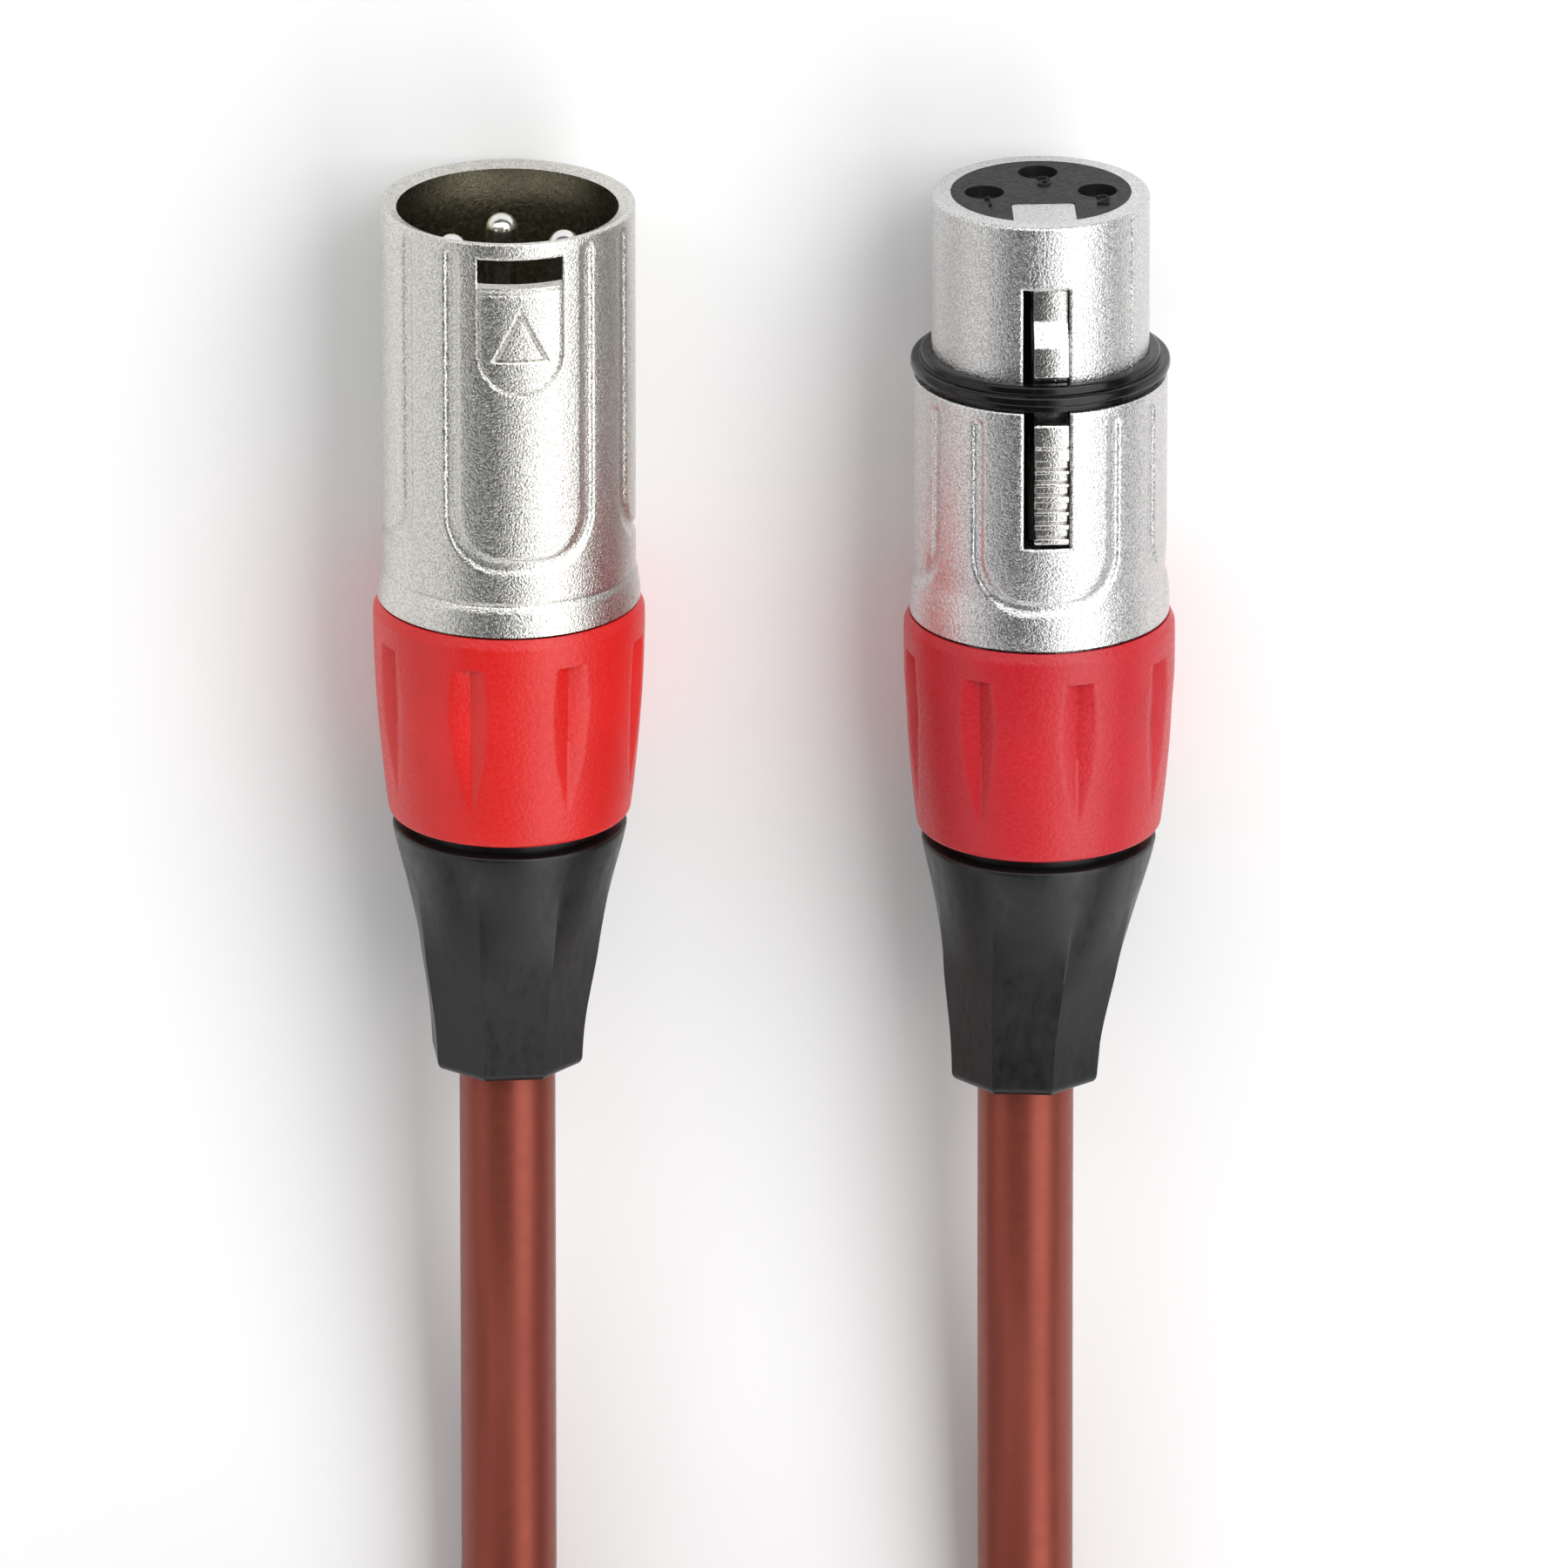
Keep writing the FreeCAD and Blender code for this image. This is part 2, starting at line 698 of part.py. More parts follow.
def make_cable_end(end):
    """The cable inside the connector, from where its jacket is stripped to the boot's mouth."""
    front = ENDS[end]["nut"] + " + "
    body = new_body(f"{end}_cable_end")
    turned(body, f"{end}_cable_end_turned", [
        ("0", front + "jacket_start"),
        ("cord_radius", front + "jacket_start"),
        ("cord_radius", front + "boot_skirt_start + boot_length"),
        ("0", front + "boot_skirt_start + boot_length"),
    ])
    return seat(body, end)


def wire_route(end, spot, cup_end):
    """From the stripped end of the cable, where the conductors leave near its middle, into a solder cup."""
    jacket = -amount(ENDS[end]["nut"] + " + jacket_start")
    out = Vector(spot[0], 0, spot[1])
    near = out * (1.5 / out.Length)
    cup_mouth = -cup_end
    return [
        (near.x, jacket, near.z),
        (near.x, jacket + 0.3 * (cup_mouth - jacket), near.z),
        (out.x, cup_mouth - 0.3 * (cup_mouth - jacket), out.z),
        (out.x, cup_mouth + SIZES["cup_depth"] - 0.6, out.z),
    ]


def make_core(name, end, spot, cup_end):
    """One insulated conductor."""
    return seat(tube(name, wire_route(end, spot, cup_end), SIZES["core_radius"]), end)


def make_drain(end, spot, cup_end):
    """The bare drain wire, and the insulating sleeve pushed over it."""
    route = wire_route(end, spot, cup_end)
    seat(tube(f"{end}_drain_wire", route, SIZES["drain_radius"]), end)
    path = rounded_path(route)
    straight = path.Edges[2]
    middle = Part.Wire([straight])
    begin = straight.Vertexes[0].Point
    along = straight.Vertexes[1].Point - begin
    skins = []
    for radius in (SIZES["sleeve_outer"], SIZES["drain_radius"]):
        ring = Part.Wire(Part.Circle(begin, along, radius).toShape())
        skins.append(middle.makePipeShell([ring], True, False))
    sleeve = doc.addObject("Part::Feature", f"{end}_shield_sleeve")
    sleeve.Shape = skins[0].cut(skins[1])
    sleeve.Label = f"{end}_shield_sleeve"
    return seat(sleeve, end)


LEADS = {
    "cable_male_lead": [
        (-19.5, -33.43, 10.0),
        (-19.5, -46.5, 10.0),
        (-19.5, -60.0, 6.6),
        (-19.5, -86.0, 3.6),
        (-38.65, -120.0, 3.9),
        (-38.65, -141.0, 4.45),
    ],
    "cable_female_lead": [
        (19.5, -34.55, 10.0),
        (19.5, -47.5, 10.0),
        (19.5, -61.0, 6.7),
        (19.5, -87.5, 3.6),
        (38.65, -120.5, 8.9),
        (38.65, -141.5, 11.55),
    ],
}


def make_lead(name):
    piece = tube(name, LEADS[name], SIZES["cord_radius"], report=True)
    nodes.append(piece)
    return piece


def make_coil():
    """The outer shape of the wound coil: a ring two cords wide, with rounded edges."""
    body = new_body("cable_coil")
    low, outer = "coil_lift", "coil_outer_turn"
    high = " + ".join(["coil_lift"] + ["cord_radius"] * 8)
    inner = "coil_outer_turn - cord_radius - cord_radius"
    sketch = outline(new_sketch(body, "cable_coil_outline", "XZ_Plane"), [
        (inner, low, "cord_radius"),
        (outer, low),
        (outer + " + cord_radius", low + " + cord_radius", "cord_radius"),
        (outer + " + cord_radius", high + " - cord_radius"),
        (outer, high, "cord_radius"),
        (inner, high),
        (inner + " - cord_radius", high + " - cord_radius", "cord_radius"),
        (inner + " - cord_radius", low + " + cord_radius"),
    ])
    ring = body.newObject("PartDesign::Revolution", "cable_coil_ring")
    ring.Profile = sketch
    ring.ReferenceAxis = (sketch, ["V_Axis"])
    ring.Angle = 360
    body.Placement = FreeCAD.Placement(Vector(0, SIZES["coil_middle_y"], 0), FreeCAD.Rotation())
    nodes.append(body)
    return body


def make_tie():
    """A strap round the coil's section, on the side away from the connectors."""
    body = new_body("cable_tie")
    inner = "- coil_outer_turn + cord_radius + cord_radius + cord_radius + tie_inner_gap"
    outer = "- coil_outer_turn - cord_radius"
    top = " + ".join(["coil_lift"] + ["cord_radius"] * 8)
    hoops = (
        (f"{outer} - tie_thick", "0", f"{inner} + tie_thick", f"{top} + tie_thick", "tie_width",
         "PartDesign::Pad"),
        (outer, "coil_lift", inner, top, "tie_width + 2", "PartDesign::Pocket"),
    )
    for i, (back, low, front, high, width, kind) in enumerate(hoops):
        corners = [(front, low), (front, high), (back, high), (back, low)]
        sketch = outline(new_sketch(body, f"tie_outline_{i}", "YZ_Plane"), corners)
        feature = body.newObject(kind, f"tie_hoop_{i}")
        feature.Profile = sketch
        feature.setExpression("Length", bound(width))
        feature.Midplane = True
    body.Placement = FreeCAD.Placement(Vector(0, SIZES["coil_middle_y"], 0), FreeCAD.Rotation())
    nodes.append(body)
    return body


# ---------------------------------------------------------------- the assembly
male_cup_end = amount("male_insert_end + cup_length")
female_cup_end = amount("female_insert_end + cup_length")

make_male_shell()
make_male_insert()
for number, spot in enumerate(contact_spots("male"), 1):
    make_male_pin(number, spot)
make_ground_spring("male", "male_insert_end")
make_female_shell()
make_ring()
make_female_insert()
for number, spot in enumerate(contact_spots("female"), 1):
    make_female_socket(number, spot)
make_latch()
make_latch_pin()
make_latch_spring()
make_ground_spring("female", "female_insert_end")
for end, cup_end in (("male", male_cup_end), ("female", female_cup_end)):
    spots = contact_spots(end)
    make_chuck(end)
    make_nut(end, f"{end}_flute_turn")
    make_boot(end, f"{end}_boot_turn")
    make_cable_end(end)
    make_core(f"{end}_wire_hot", end, spots[1], cup_end)
    make_core(f"{end}_wire_cold", end, spots[2], cup_end)
    make_drain(end, spots[0], cup_end)
for name in LEADS:
    make_lead(name)
make_coil()
make_tie()

# ---------------------------------------------------------------- checks and export
doc.recompute()
for thing in doc.Objects:
    if "Invalid" in thing.State or "Error" in thing.State:
        raise ValueError(f"{thing.Name}: {thing.State}")
names = [node.Label for node in nodes]
if len(set(names)) != len(names):
    raise ValueError("two nodes share a name")
for node in nodes:
    shape = node.Shape
    if shape.isNull() or not shape.isValid() or not shape.Solids:
        raise ValueError(f"{node.Label}: no valid solid")
for node in nodes:
    node.Shape.exportStep(f"parts/{node.Label}.step")
print(f"{len(nodes)} nodes")
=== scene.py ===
import json
import math

import bmesh
import bpy
from mathutils import Matrix, Vector


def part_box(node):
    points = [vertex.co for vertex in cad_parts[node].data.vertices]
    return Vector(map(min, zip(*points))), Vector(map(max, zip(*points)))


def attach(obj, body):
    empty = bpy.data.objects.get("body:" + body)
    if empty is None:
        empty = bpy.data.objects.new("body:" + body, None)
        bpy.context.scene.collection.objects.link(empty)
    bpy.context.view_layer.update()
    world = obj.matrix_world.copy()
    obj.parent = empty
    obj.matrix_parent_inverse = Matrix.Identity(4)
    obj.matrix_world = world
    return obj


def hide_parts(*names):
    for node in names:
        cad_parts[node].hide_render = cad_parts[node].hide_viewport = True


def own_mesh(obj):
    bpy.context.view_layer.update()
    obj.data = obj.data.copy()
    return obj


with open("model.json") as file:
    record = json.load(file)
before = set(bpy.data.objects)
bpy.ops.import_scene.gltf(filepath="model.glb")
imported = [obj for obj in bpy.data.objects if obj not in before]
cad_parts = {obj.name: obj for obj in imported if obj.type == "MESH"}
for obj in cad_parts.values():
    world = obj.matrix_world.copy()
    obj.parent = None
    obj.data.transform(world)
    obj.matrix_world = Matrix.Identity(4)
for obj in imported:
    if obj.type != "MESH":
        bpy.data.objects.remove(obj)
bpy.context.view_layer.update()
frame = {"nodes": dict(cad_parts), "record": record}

MM = 0.001
TAU = 2 * math.pi
# Lengths are in mm and angles in radians, unless a comment says otherwise. Each connector has its own
# directions: depth behind its mating face, across to its right, and height towards its latch side.


# ================================================================ where the connectors are
def middle(node):
    low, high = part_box(node)
    return [(low[i] + high[i]) / 2 / MM for i in range(3)]


def end_facts(end, roll):
    """A connector's axis and mating face, from the frame, and its turn about its axis, in degrees."""
    x, _, z = middle(f"{end}_cable_end")
    return {"x": x, "z": z, "face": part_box(f"{end}_shell")[1][1] / MM, "roll": math.radians(roll)}


ENDS = {"male": end_facts("male", 6.5), "female": end_facts("female", 2.6)}


def depth_of(end, node, side):
    """How far behind the mating face a node starts (side 1) or stops (side 0), in mm."""
    return ENDS[end]["face"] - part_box(node)[side][1] / MM


def to_row(end, across, depth, height, roll=None):
    """A point of a connector's own frame, in mm, as a point of the row frame, in metres."""
    facts = ENDS[end]
    turn = facts["roll"] if roll is None else roll
    x = across * math.cos(turn) + height * math.sin(turn)
    z = height * math.cos(turn) - across * math.sin(turn)
    return Vector(((facts["x"] + x) * MM, (facts["face"] - depth) * MM, (facts["z"] + z) * MM))


# ================================================================ small maths
def wrapped(angle):
    """The same angle, between minus and plus half a turn."""
    return (angle + math.pi) % TAU - math.pi


def nearest_of(count, angle, phase=0.0):
    """The nearest to an angle of count evenly spaced ones, the first of them at the phase."""
    return phase + round((angle - phase) / (TAU / count)) * TAU / count


def smooth(value, low=0.0, high=1.0):
    """0 below low, 1 above high, and a smooth step between."""
    t = min(max((value - low) / (high - low), 0.0), 1.0)
    return t * t * (3 - 2 * t)


def rounding(distance, radius):
    """How far a rounded edge falls away, at a distance from the edge."""
    if distance >= radius:
        return 0.0
    return radius - math.sqrt(max(radius**2 - (radius - distance) ** 2, 0.0))


def dip(off, width):
    """1 on a line, and next to nothing beyond twice the width from it."""
    return math.exp(-((off / width) ** 2))


def through(points):
    """A smooth function through (place, value) points: monotone cubic between them."""
    slopes = []
    for i in range(len(points)):
        left = right = None
        if i > 0:
            left = (points[i][1] - points[i - 1][1]) / (points[i][0] - points[i - 1][0])
        if i < len(points) - 1:
            right = (points[i + 1][1] - points[i][1]) / (points[i + 1][0] - points[i][0])
        if left is None or right is None:
            slopes.append(right if left is None else left)
        elif left * right <= 0:
            slopes.append(0.0)
        else:
            slopes.append(2 * left * right / (left + right))

    def value(place):
        if place <= points[0][0]:
            return points[0][1]
        for (a, va), (b, vb), sa, sb in zip(points, points[1:], slopes, slopes[1:]):
            if place <= b:
                span = b - a
                t = (place - a) / span
                return ((1 + 2 * t) * (1 - t) ** 2 * va + t * (1 - t) ** 2 * span * sa
                        + t * t * (3 - 2 * t) * vb + t * t * (t - 1) * span * sb)
        return points[-1][1]

    return value


def lines(stops, step):
    """Rising values through every stop, no further apart than step."""
    found = []
    for a, b in zip(stops, stops[1:]):
        count = max(1, math.ceil((b - a) / step - 1e-6))
        found += [a + (b - a) * i / count for i in range(count)]
    return found + [stops[-1]]


def around(count):
    """Evenly spaced angles right round, in radians."""
    return [math.radians(-180 + 360 * i / count) for i in range(count)]


# ================================================================ meshes
WELD = 1e-7  # points nearer than this are one, in metres


def add_object(name, data, materials):
    piece = bpy.data.objects.new(name, data)
    bpy.context.scene.collection.objects.link(piece)
    for material in materials:
        piece.data.materials.append(material)
    return piece


def smooth_faces(bm, sharp):
    """Smooth shading that keeps the edges sharper than an angle in degrees."""
    limit = math.radians(sharp)
    for face in bm.faces:
        face.smooth = True
    for edge in bm.edges:
        edge.smooth = edge.calc_face_angle(0.0) < limit


def finish_mesh(name, vertices, faces, materials, sharp=38, lined=None):
    """An object from its faces. The faces from lined onwards take the second material."""
    mesh = bpy.data.meshes.new(name)
    mesh.from_pydata([tuple(v) for v in vertices], [], faces)
    if lined is not None and len(materials) > 1:
        for face in mesh.polygons[lined:]:
            face.material_index = 1
    bm = bmesh.new()
    bm.from_mesh(mesh)
    bmesh.ops.remove_doubles(bm, verts=bm.verts, dist=WELD)
    bmesh.ops.dissolve_degenerate(bm, dist=WELD, edges=bm.edges)
    bmesh.ops.recalc_face_normals(bm, faces=bm.faces)
    smooth_faces(bm, sharp)
    bm.to_mesh(mesh)
    bm.free()
    return add_object(name, mesh, materials)


def shell(name, end, angles, rows, outer, inner, materials,
          hole=None, warp=None, roll=None, sway=None, mouth=0.0):
    """A round wall with an outer and an inner skin over the same lines, joined at both ends and round holes.

    outer(angle, depth) and inner(angle, depth) give radii in mm. hole(angle, depth) is true inside a hole.
    warp(angle, radius) moves a line so that a hole's sides stay parallel. sway(depth) leans the piece to +X.
    The inner skin has the outer one's material down to the mouth depth, and the second material beyond it.
    For the shells, that second material is a darker copy of the nickel with painted shade.
    """
    count, bent = len(angles), warp or (lambda angle, radius: angle)
    vertices = []
    for skin in (outer, inner):
        for depth in rows:
            lean = Vector(((sway(depth) if sway else 0.0) * MM, 0, 0))
            for angle in angles:
                radius = skin(angle, depth)
                turned = bent(angle, radius)
                spot = to_row(end, radius * math.sin(turned), depth, radius * math.cos(turned), roll)
                vertices.append(spot + lean)
    inside = len(rows) * count
    centres = [a + ((b - a) % TAU) / 2 for a, b in zip(angles, angles[1:] + angles[:1])]
    open_cells = set()
    if hole is not None:
        open_cells = {(i, j) for i in range(len(rows) - 1) for j in range(count)
                      if hole(centres[j], (rows[i] + rows[i + 1]) / 2)}
    faces, linings = [], []
    for i in range(len(rows) - 1):
        for j in range(count):
            if (i, j) in open_cells:
                continue
            k = (j + 1) % count
            a, b, c, d = i * count + j, i * count + k, (i + 1) * count + k, (i + 1) * count + j
            faces.append((a, b, c, d))
            lining = faces if rows[i] < mouth - 1e-6 else linings
            lining.append((d + inside, c + inside, b + inside, a + inside))
            if i == 0 or (i - 1, j) in open_cells:
                faces.append((b, a, a + inside, b + inside))
            if i == len(rows) - 2 or (i + 1, j) in open_cells:
                faces.append((d, c, c + inside, d + inside))
            if (i, (j - 1) % count) in open_cells:
                faces.append((a, d, d + inside, a + inside))
            if (i, k) in open_cells:
                faces.append((c, b, b + inside, c + inside))
    return finish_mesh(name, vertices, faces + linings, materials, lined=len(faces))


def lathe(name, end, outline, materials, count, spot=(0, 0), sharp=38):
    """A piece turned about a line along the connector, from a closed (radius, depth) outline."""
    vertices, faces = [], []
    for radius, depth in outline:
        for j in range(count):
            angle = TAU * j / count
            vertices.append(to_row(end, spot[0] + radius * math.sin(angle), depth,
                                   spot[1] + radius * math.cos(angle)))
    for i in range(len(outline)):
        below = (i + 1) % len(outline)
        if outline[i][0] == 0 and outline[below][0] == 0:
            continue
        for j in range(count):
            k = (j + 1) % count
            faces.append((i * count + j, i * count + k, below * count + k, below * count + j))
    return finish_mesh(name, vertices, faces, materials, sharp)


def softened(points, radii, steps=4):
    """A closed outline with its corners rounded. radii gives one radius for each point, 0 for a sharp one."""
    found = []
    count = len(points)
    for i, (point, radius) in enumerate(zip(points, radii)):
        here = Vector(point)
        if radius <= 0:
            found.append(tuple(here))
            continue
        back, on = Vector(points[i - 1]) - here, Vector(points[(i + 1) % count]) - here
        turn = math.pi - back.angle(on)
        if turn < 1e-3:
            found.append(tuple(here))
            continue
        reach = min(radius * math.tan(turn / 2), 0.48 * back.length, 0.48 * on.length)
        begin, stop = here + back.normalized() * reach, here + on.normalized() * reach
        for k in range(steps + 1):
            t = k / steps
            found.append(tuple((1 - t) ** 2 * begin + 2 * t * (1 - t) * here + t * t * stop))
    return found


def slab(name, end, outline, half_width, materials, bevel, shift=0.0):
    """A plate: a (depth, height) outline spread to both sides, with its edges bevelled."""
    bm = bmesh.new()
    sides = []
    for across in (shift - half_width, shift + half_width):
        sides.append([bm.verts.new(to_row(end, across, d, h)) for d, h in outline])
    bm.faces.new(sides[0])
    bm.faces.new(list(reversed(sides[1])))
    for i in range(len(outline)):
        j = (i + 1) % len(outline)
        bm.faces.new((sides[0][j], sides[0][i], sides[1][i], sides[1][j]))
    bmesh.ops.recalc_face_normals(bm, faces=bm.faces)
    rims = [e for e in bm.edges if len({v in sides[0] for v in e.verts}) == 1]
    bmesh.ops.bevel(bm, geom=rims, offset=bevel * MM, segments=2, profile=0.5, affect="EDGES")
    smooth_faces(bm, 30)
    mesh = bpy.data.meshes.new(name)
    bm.to_mesh(mesh)
    bm.free()
    return add_object(name, mesh, materials)


# ================================================================ materials
def linear(*srgb):
    """A colour given as 0 to 255 screen values, in the shader's linear values."""
    return tuple(c / 255 / 12.92 if c <= 10 else ((c / 255 + 0.055) / 1.055) ** 2.4 for c in srgb) + (1.0,)


class Paint:
    """A Principled material with its node tree within reach."""

    def __init__(self, name, colour, roughness, metallic=0.0, **sockets):
        self.material = bpy.data.materials.new(name)
        self.material.use_nodes = True
        self.tree = self.material.node_tree
        self.shader = self.tree.nodes["Principled BSDF"]
        self.shader.inputs["Base Color"].default_value = colour
        self.shader.inputs["Roughness"].default_value = roughness
        self.shader.inputs["Metallic"].default_value = metallic
        for key, value in sockets.items():
            self.shader.inputs[key.replace("_", " ")].default_value = value
        self.material.diffuse_color = colour
        self.place = self.node("ShaderNodeTexCoord").outputs["Object"]

    def node(self, kind, **settings):
        made = self.tree.nodes.new(kind)
        for key, value in settings.items():
            setattr(made, key, value)
        return made

    def link(self, source, target):
        self.tree.links.new(source, target)

    def noise(self, scale, detail=3.0, rough=0.55, stretch=None):
        made = self.node("ShaderNodeTexNoise")
        made.inputs["Scale"].default_value = scale
        made.inputs["Detail"].default_value = detail
        made.inputs["Roughness"].default_value = rough
        place = self.place
        if stretch:
            mapping = self.node("ShaderNodeMapping")
            mapping.inputs["Scale"].default_value = stretch
            self.link(place, mapping.inputs["Vector"])
            place = mapping.outputs["Vector"]
        self.link(place, made.inputs["Vector"])
        return made.outputs["Fac"]

    def tint(self, source, stops):
        """The base colour follows a noise through (place, colour) stops."""
        made = self.node("ShaderNodeValToRGB")
        for element, (at, colour) in zip(made.color_ramp.elements, stops):
            element.position = at
            element.color = colour
        self.link(source, made.inputs["Fac"])
        self.link(made.outputs["Color"], self.shader.inputs["Base Color"])

    def rough(self, source, smoothest, roughest):
        """The roughness follows a noise between two limits."""
        made = self.node("ShaderNodeMapRange")
        for key, value in (("From Min", 0.3), ("From Max", 0.7), ("To Min", smoothest), ("To Max", roughest)):
            made.inputs[key].default_value = value
        self.link(source, made.inputs["Value"])
        self.link(made.outputs["Result"], self.shader.inputs["Roughness"])

    def bump(self, *layers):
        """Stacked bumps: (height, distance in metres, strength), the first one finest."""
        normal = None
        for height, distance, strength in layers:
            made = self.node("ShaderNodeBump")
            made.inputs["Distance"].default_value = distance
            made.inputs["Strength"].default_value = strength
            self.link(height, made.inputs["Height"])
            if normal is not None:
                self.link(normal, made.inputs["Normal"])
            normal = made.outputs["Normal"]
        self.link(normal, self.shader.inputs["Normal"])


def nickel(name, colour, smoothest=0.18, grit=1.0):
    """Satin nickel: a sandy grain that scatters dark and bright points where the light changes."""
    paint = Paint(name, colour, smoothest + 0.06, metallic=1.0)
    grain = paint.noise(6200, detail=2.0, rough=0.6)
    coarse = paint.noise(2600, detail=2.0, rough=0.5)
    dark = tuple(c * 0.7 for c in colour[:3]) + (1.0,)
    paint.tint(grain, [(0.4, dark), (0.54, colour)])
    paint.rough(coarse, smoothest, smoothest + 0.12)
    paint.bump((grain, 0.000065 * grit, 1.0), (coarse, 0.00005 * grit, 0.4))
    return paint.material


def bright_plate():
    """The smoother plating of the contacts."""
    paint = Paint("bright_plate", (0.82, 0.81, 0.79, 1.0), 0.16, metallic=1.0)
    grain = paint.noise(3000, detail=2.0)
    paint.rough(grain, 0.12, 0.26)
    paint.bump((grain, 0.00003, 0.25))
    return paint.material


def red_plastic(name, colour, shade):
    """Moulded red plastic with a fine dry grain."""
    paint = Paint(name, colour, 0.42)
    cloud = paint.noise(90, detail=4.0)
    speck = paint.noise(3400, detail=2.0, rough=0.6)
    paint.tint(cloud, [(0.3, shade), (0.72, colour)])
    paint.rough(speck, 0.3, 0.5)
    paint.bump((speck, 0.00006, 0.8))
    return paint.material


def black_plastic(name, level, roughness, bump=0.35, scale=1500, shine=0.5):
    """Black plastic or rubber with a fine grain, drawn out along the cable, and a faint cloud."""
    paint = Paint(name, level, roughness, Specular_IOR_Level=shine)
    grain = paint.noise(scale, detail=3.0, stretch=(1.0, 0.45, 1.0))
    cloud = paint.noise(70, detail=3.0)
    pale = tuple(min(1.0, c * 1.7 + 0.004) for c in level[:3]) + (1.0,)
    paint.tint(cloud, [(0.35, level), (0.75, pale)])
    paint.rough(grain, roughness - 0.06, roughness + 0.1)
    paint.bump((grain, 0.00005, bump))
    return paint.material


def jacket():
    """A satin red jacket with a faint dust, whose broad highlight keeps its own colour."""
    colour, shade = (0.27, 0.062, 0.042, 1.0), (0.23, 0.052, 0.035, 1.0)
    paint = Paint("dusty_red_jacket", colour, 0.4, metallic=0.62, Specular_IOR_Level=0.25)
    cloud = paint.noise(60, detail=5.0, stretch=(1.0, 0.25, 1.0))
    dust = paint.noise(900, detail=4.0, rough=0.65)
    paint.tint(cloud, [(0.3, shade), (0.7, colour)])
    paint.rough(dust, 0.34, 0.44)
    paint.bump((dust, 0.00004, 0.25))
    return paint.material


def plain(name, colour, roughness, metallic=0.0):
    """A simple material for small and hidden pieces, its colour a little uneven."""
    paint = Paint(name, colour, roughness, metallic)
    grain = paint.noise(800)
    low = tuple(c * 0.82 for c in colour[:3]) + (1.0,)
    paint.tint(grain, [(0.3, low), (0.7, colour)])
    paint.rough(grain, roughness * 0.85, min(1.0, roughness * 1.2))
    return paint.material


def webbing():
    """A woven hook and loop strap: fine crossed ribs."""
    paint = Paint("woven_strap", linear(24, 24, 26), 0.85)
    wave = paint.node("ShaderNodeTexWave", bands_direction="X")
    cross = paint.node("ShaderNodeTexWave", bands_direction="DIAGONAL")
    for made, scale in ((wave, 900.0), (cross, 700.0)):
        made.inputs["Scale"].default_value = scale
        made.inputs["Distortion"].default_value = 0.6
        paint.link(paint.place, made.inputs["Vector"])
    fuzz = paint.noise(2500, detail=4.0)
    paint.tint(fuzz, [(0.3, linear(14, 14, 16)), (0.7, linear(40, 40, 43))])
    paint.bump((wave.outputs["Fac"], 0.0002, 0.5), (cross.outputs["Fac"], 0.0001, 0.3), (fuzz, 0.0001, 0.5))
    return paint.material


MALE_NICKEL = nickel("warm_nickel", (0.76, 0.745, 0.70, 1.0))
FEMALE_NICKEL = nickel("cool_nickel", (0.74, 0.73, 0.725, 1.0))
# The bores are darker copies of the nickel that paint shade inside the shells; the male one also has an olive
# tint.
MALE_PAINTED_SHADE_INSIDE = nickel("olive_bore_nickel_painted_shade", (0.42, 0.39, 0.29, 1.0), grit=0.6)
FEMALE_PAINTED_SHADE_INSIDE = nickel("grey_bore_nickel_painted_shade", (0.34, 0.33, 0.32, 1.0))
PLATE = bright_plate()
LATCH = nickel("latch_nickel", (0.76, 0.745, 0.72, 1.0), smoothest=0.14, grit=0.65)
MALE_RED = red_plastic("bright_red_plastic", linear(218, 30, 26), linear(200, 22, 20))
FEMALE_RED = red_plastic("deep_red_plastic", linear(196, 30, 40), linear(180, 22, 34))
BOOT_BLACK = black_plastic("boot_black", linear(11, 12, 12), 0.36, shine=0.45)
NUMERAL = plain("numeral_black", linear(5, 5, 5), 0.8)
RING_BLACK = black_plastic("ring_black", linear(6, 7, 8), 0.2, bump=0.15, shine=0.35)
INSERT_BLACK = black_plastic("insert_grey", linear(13, 14, 14), 0.5, bump=0.5, scale=2600, shine=0.3)
JACKET = jacket()
STRAP = webbing()
SPRING = plain("spring_steel", (0.6, 0.57, 0.5, 1.0), 0.3, 1.0)
NYLON = plain("natural_nylon", linear(222, 218, 206), 0.5)
CORE_RED = plain("core_red", linear(190, 30, 26), 0.45)
CORE_WHITE = plain("core_white", linear(232, 230, 224), 0.45)
COPPER = plain("tinned_copper", (0.85, 0.62, 0.48, 1.0), 0.35, 1.0)
SLEEVING = plain("black_sleeving", linear(26, 26, 27), 0.6)


# ================================================================ camera, floor and light
CAMERA = {"tilt": math.radians(21.0), "target": (0.72, -11.85), "distance": 2.0, "lens": 623, "sensor": 36}


def set_camera():
    """The main view: from above and a little towards the mating faces, through a long lens."""
    toward = Vector((0, math.sin(CAMERA["tilt"]), math.cos(CAMERA["tilt"])))
    target = Vector((*CAMERA["target"], ENDS["male"]["z"])) * MM
    camera = bpy.data.cameras.new("camera")
    camera.lens = CAMERA["lens"]
    camera.sensor_width = CAMERA["sensor"]
    camera.clip_start = 0.1
    holder = bpy.data.objects.new("camera", camera)
    holder.location = target + toward * CAMERA["distance"]
    across = Vector((1, 0, 0))
    holder.rotation_euler = Matrix((across, toward.cross(across), toward)).transposed().to_euler()
    bpy.context.scene.collection.objects.link(holder)
    bpy.context.scene.camera = holder


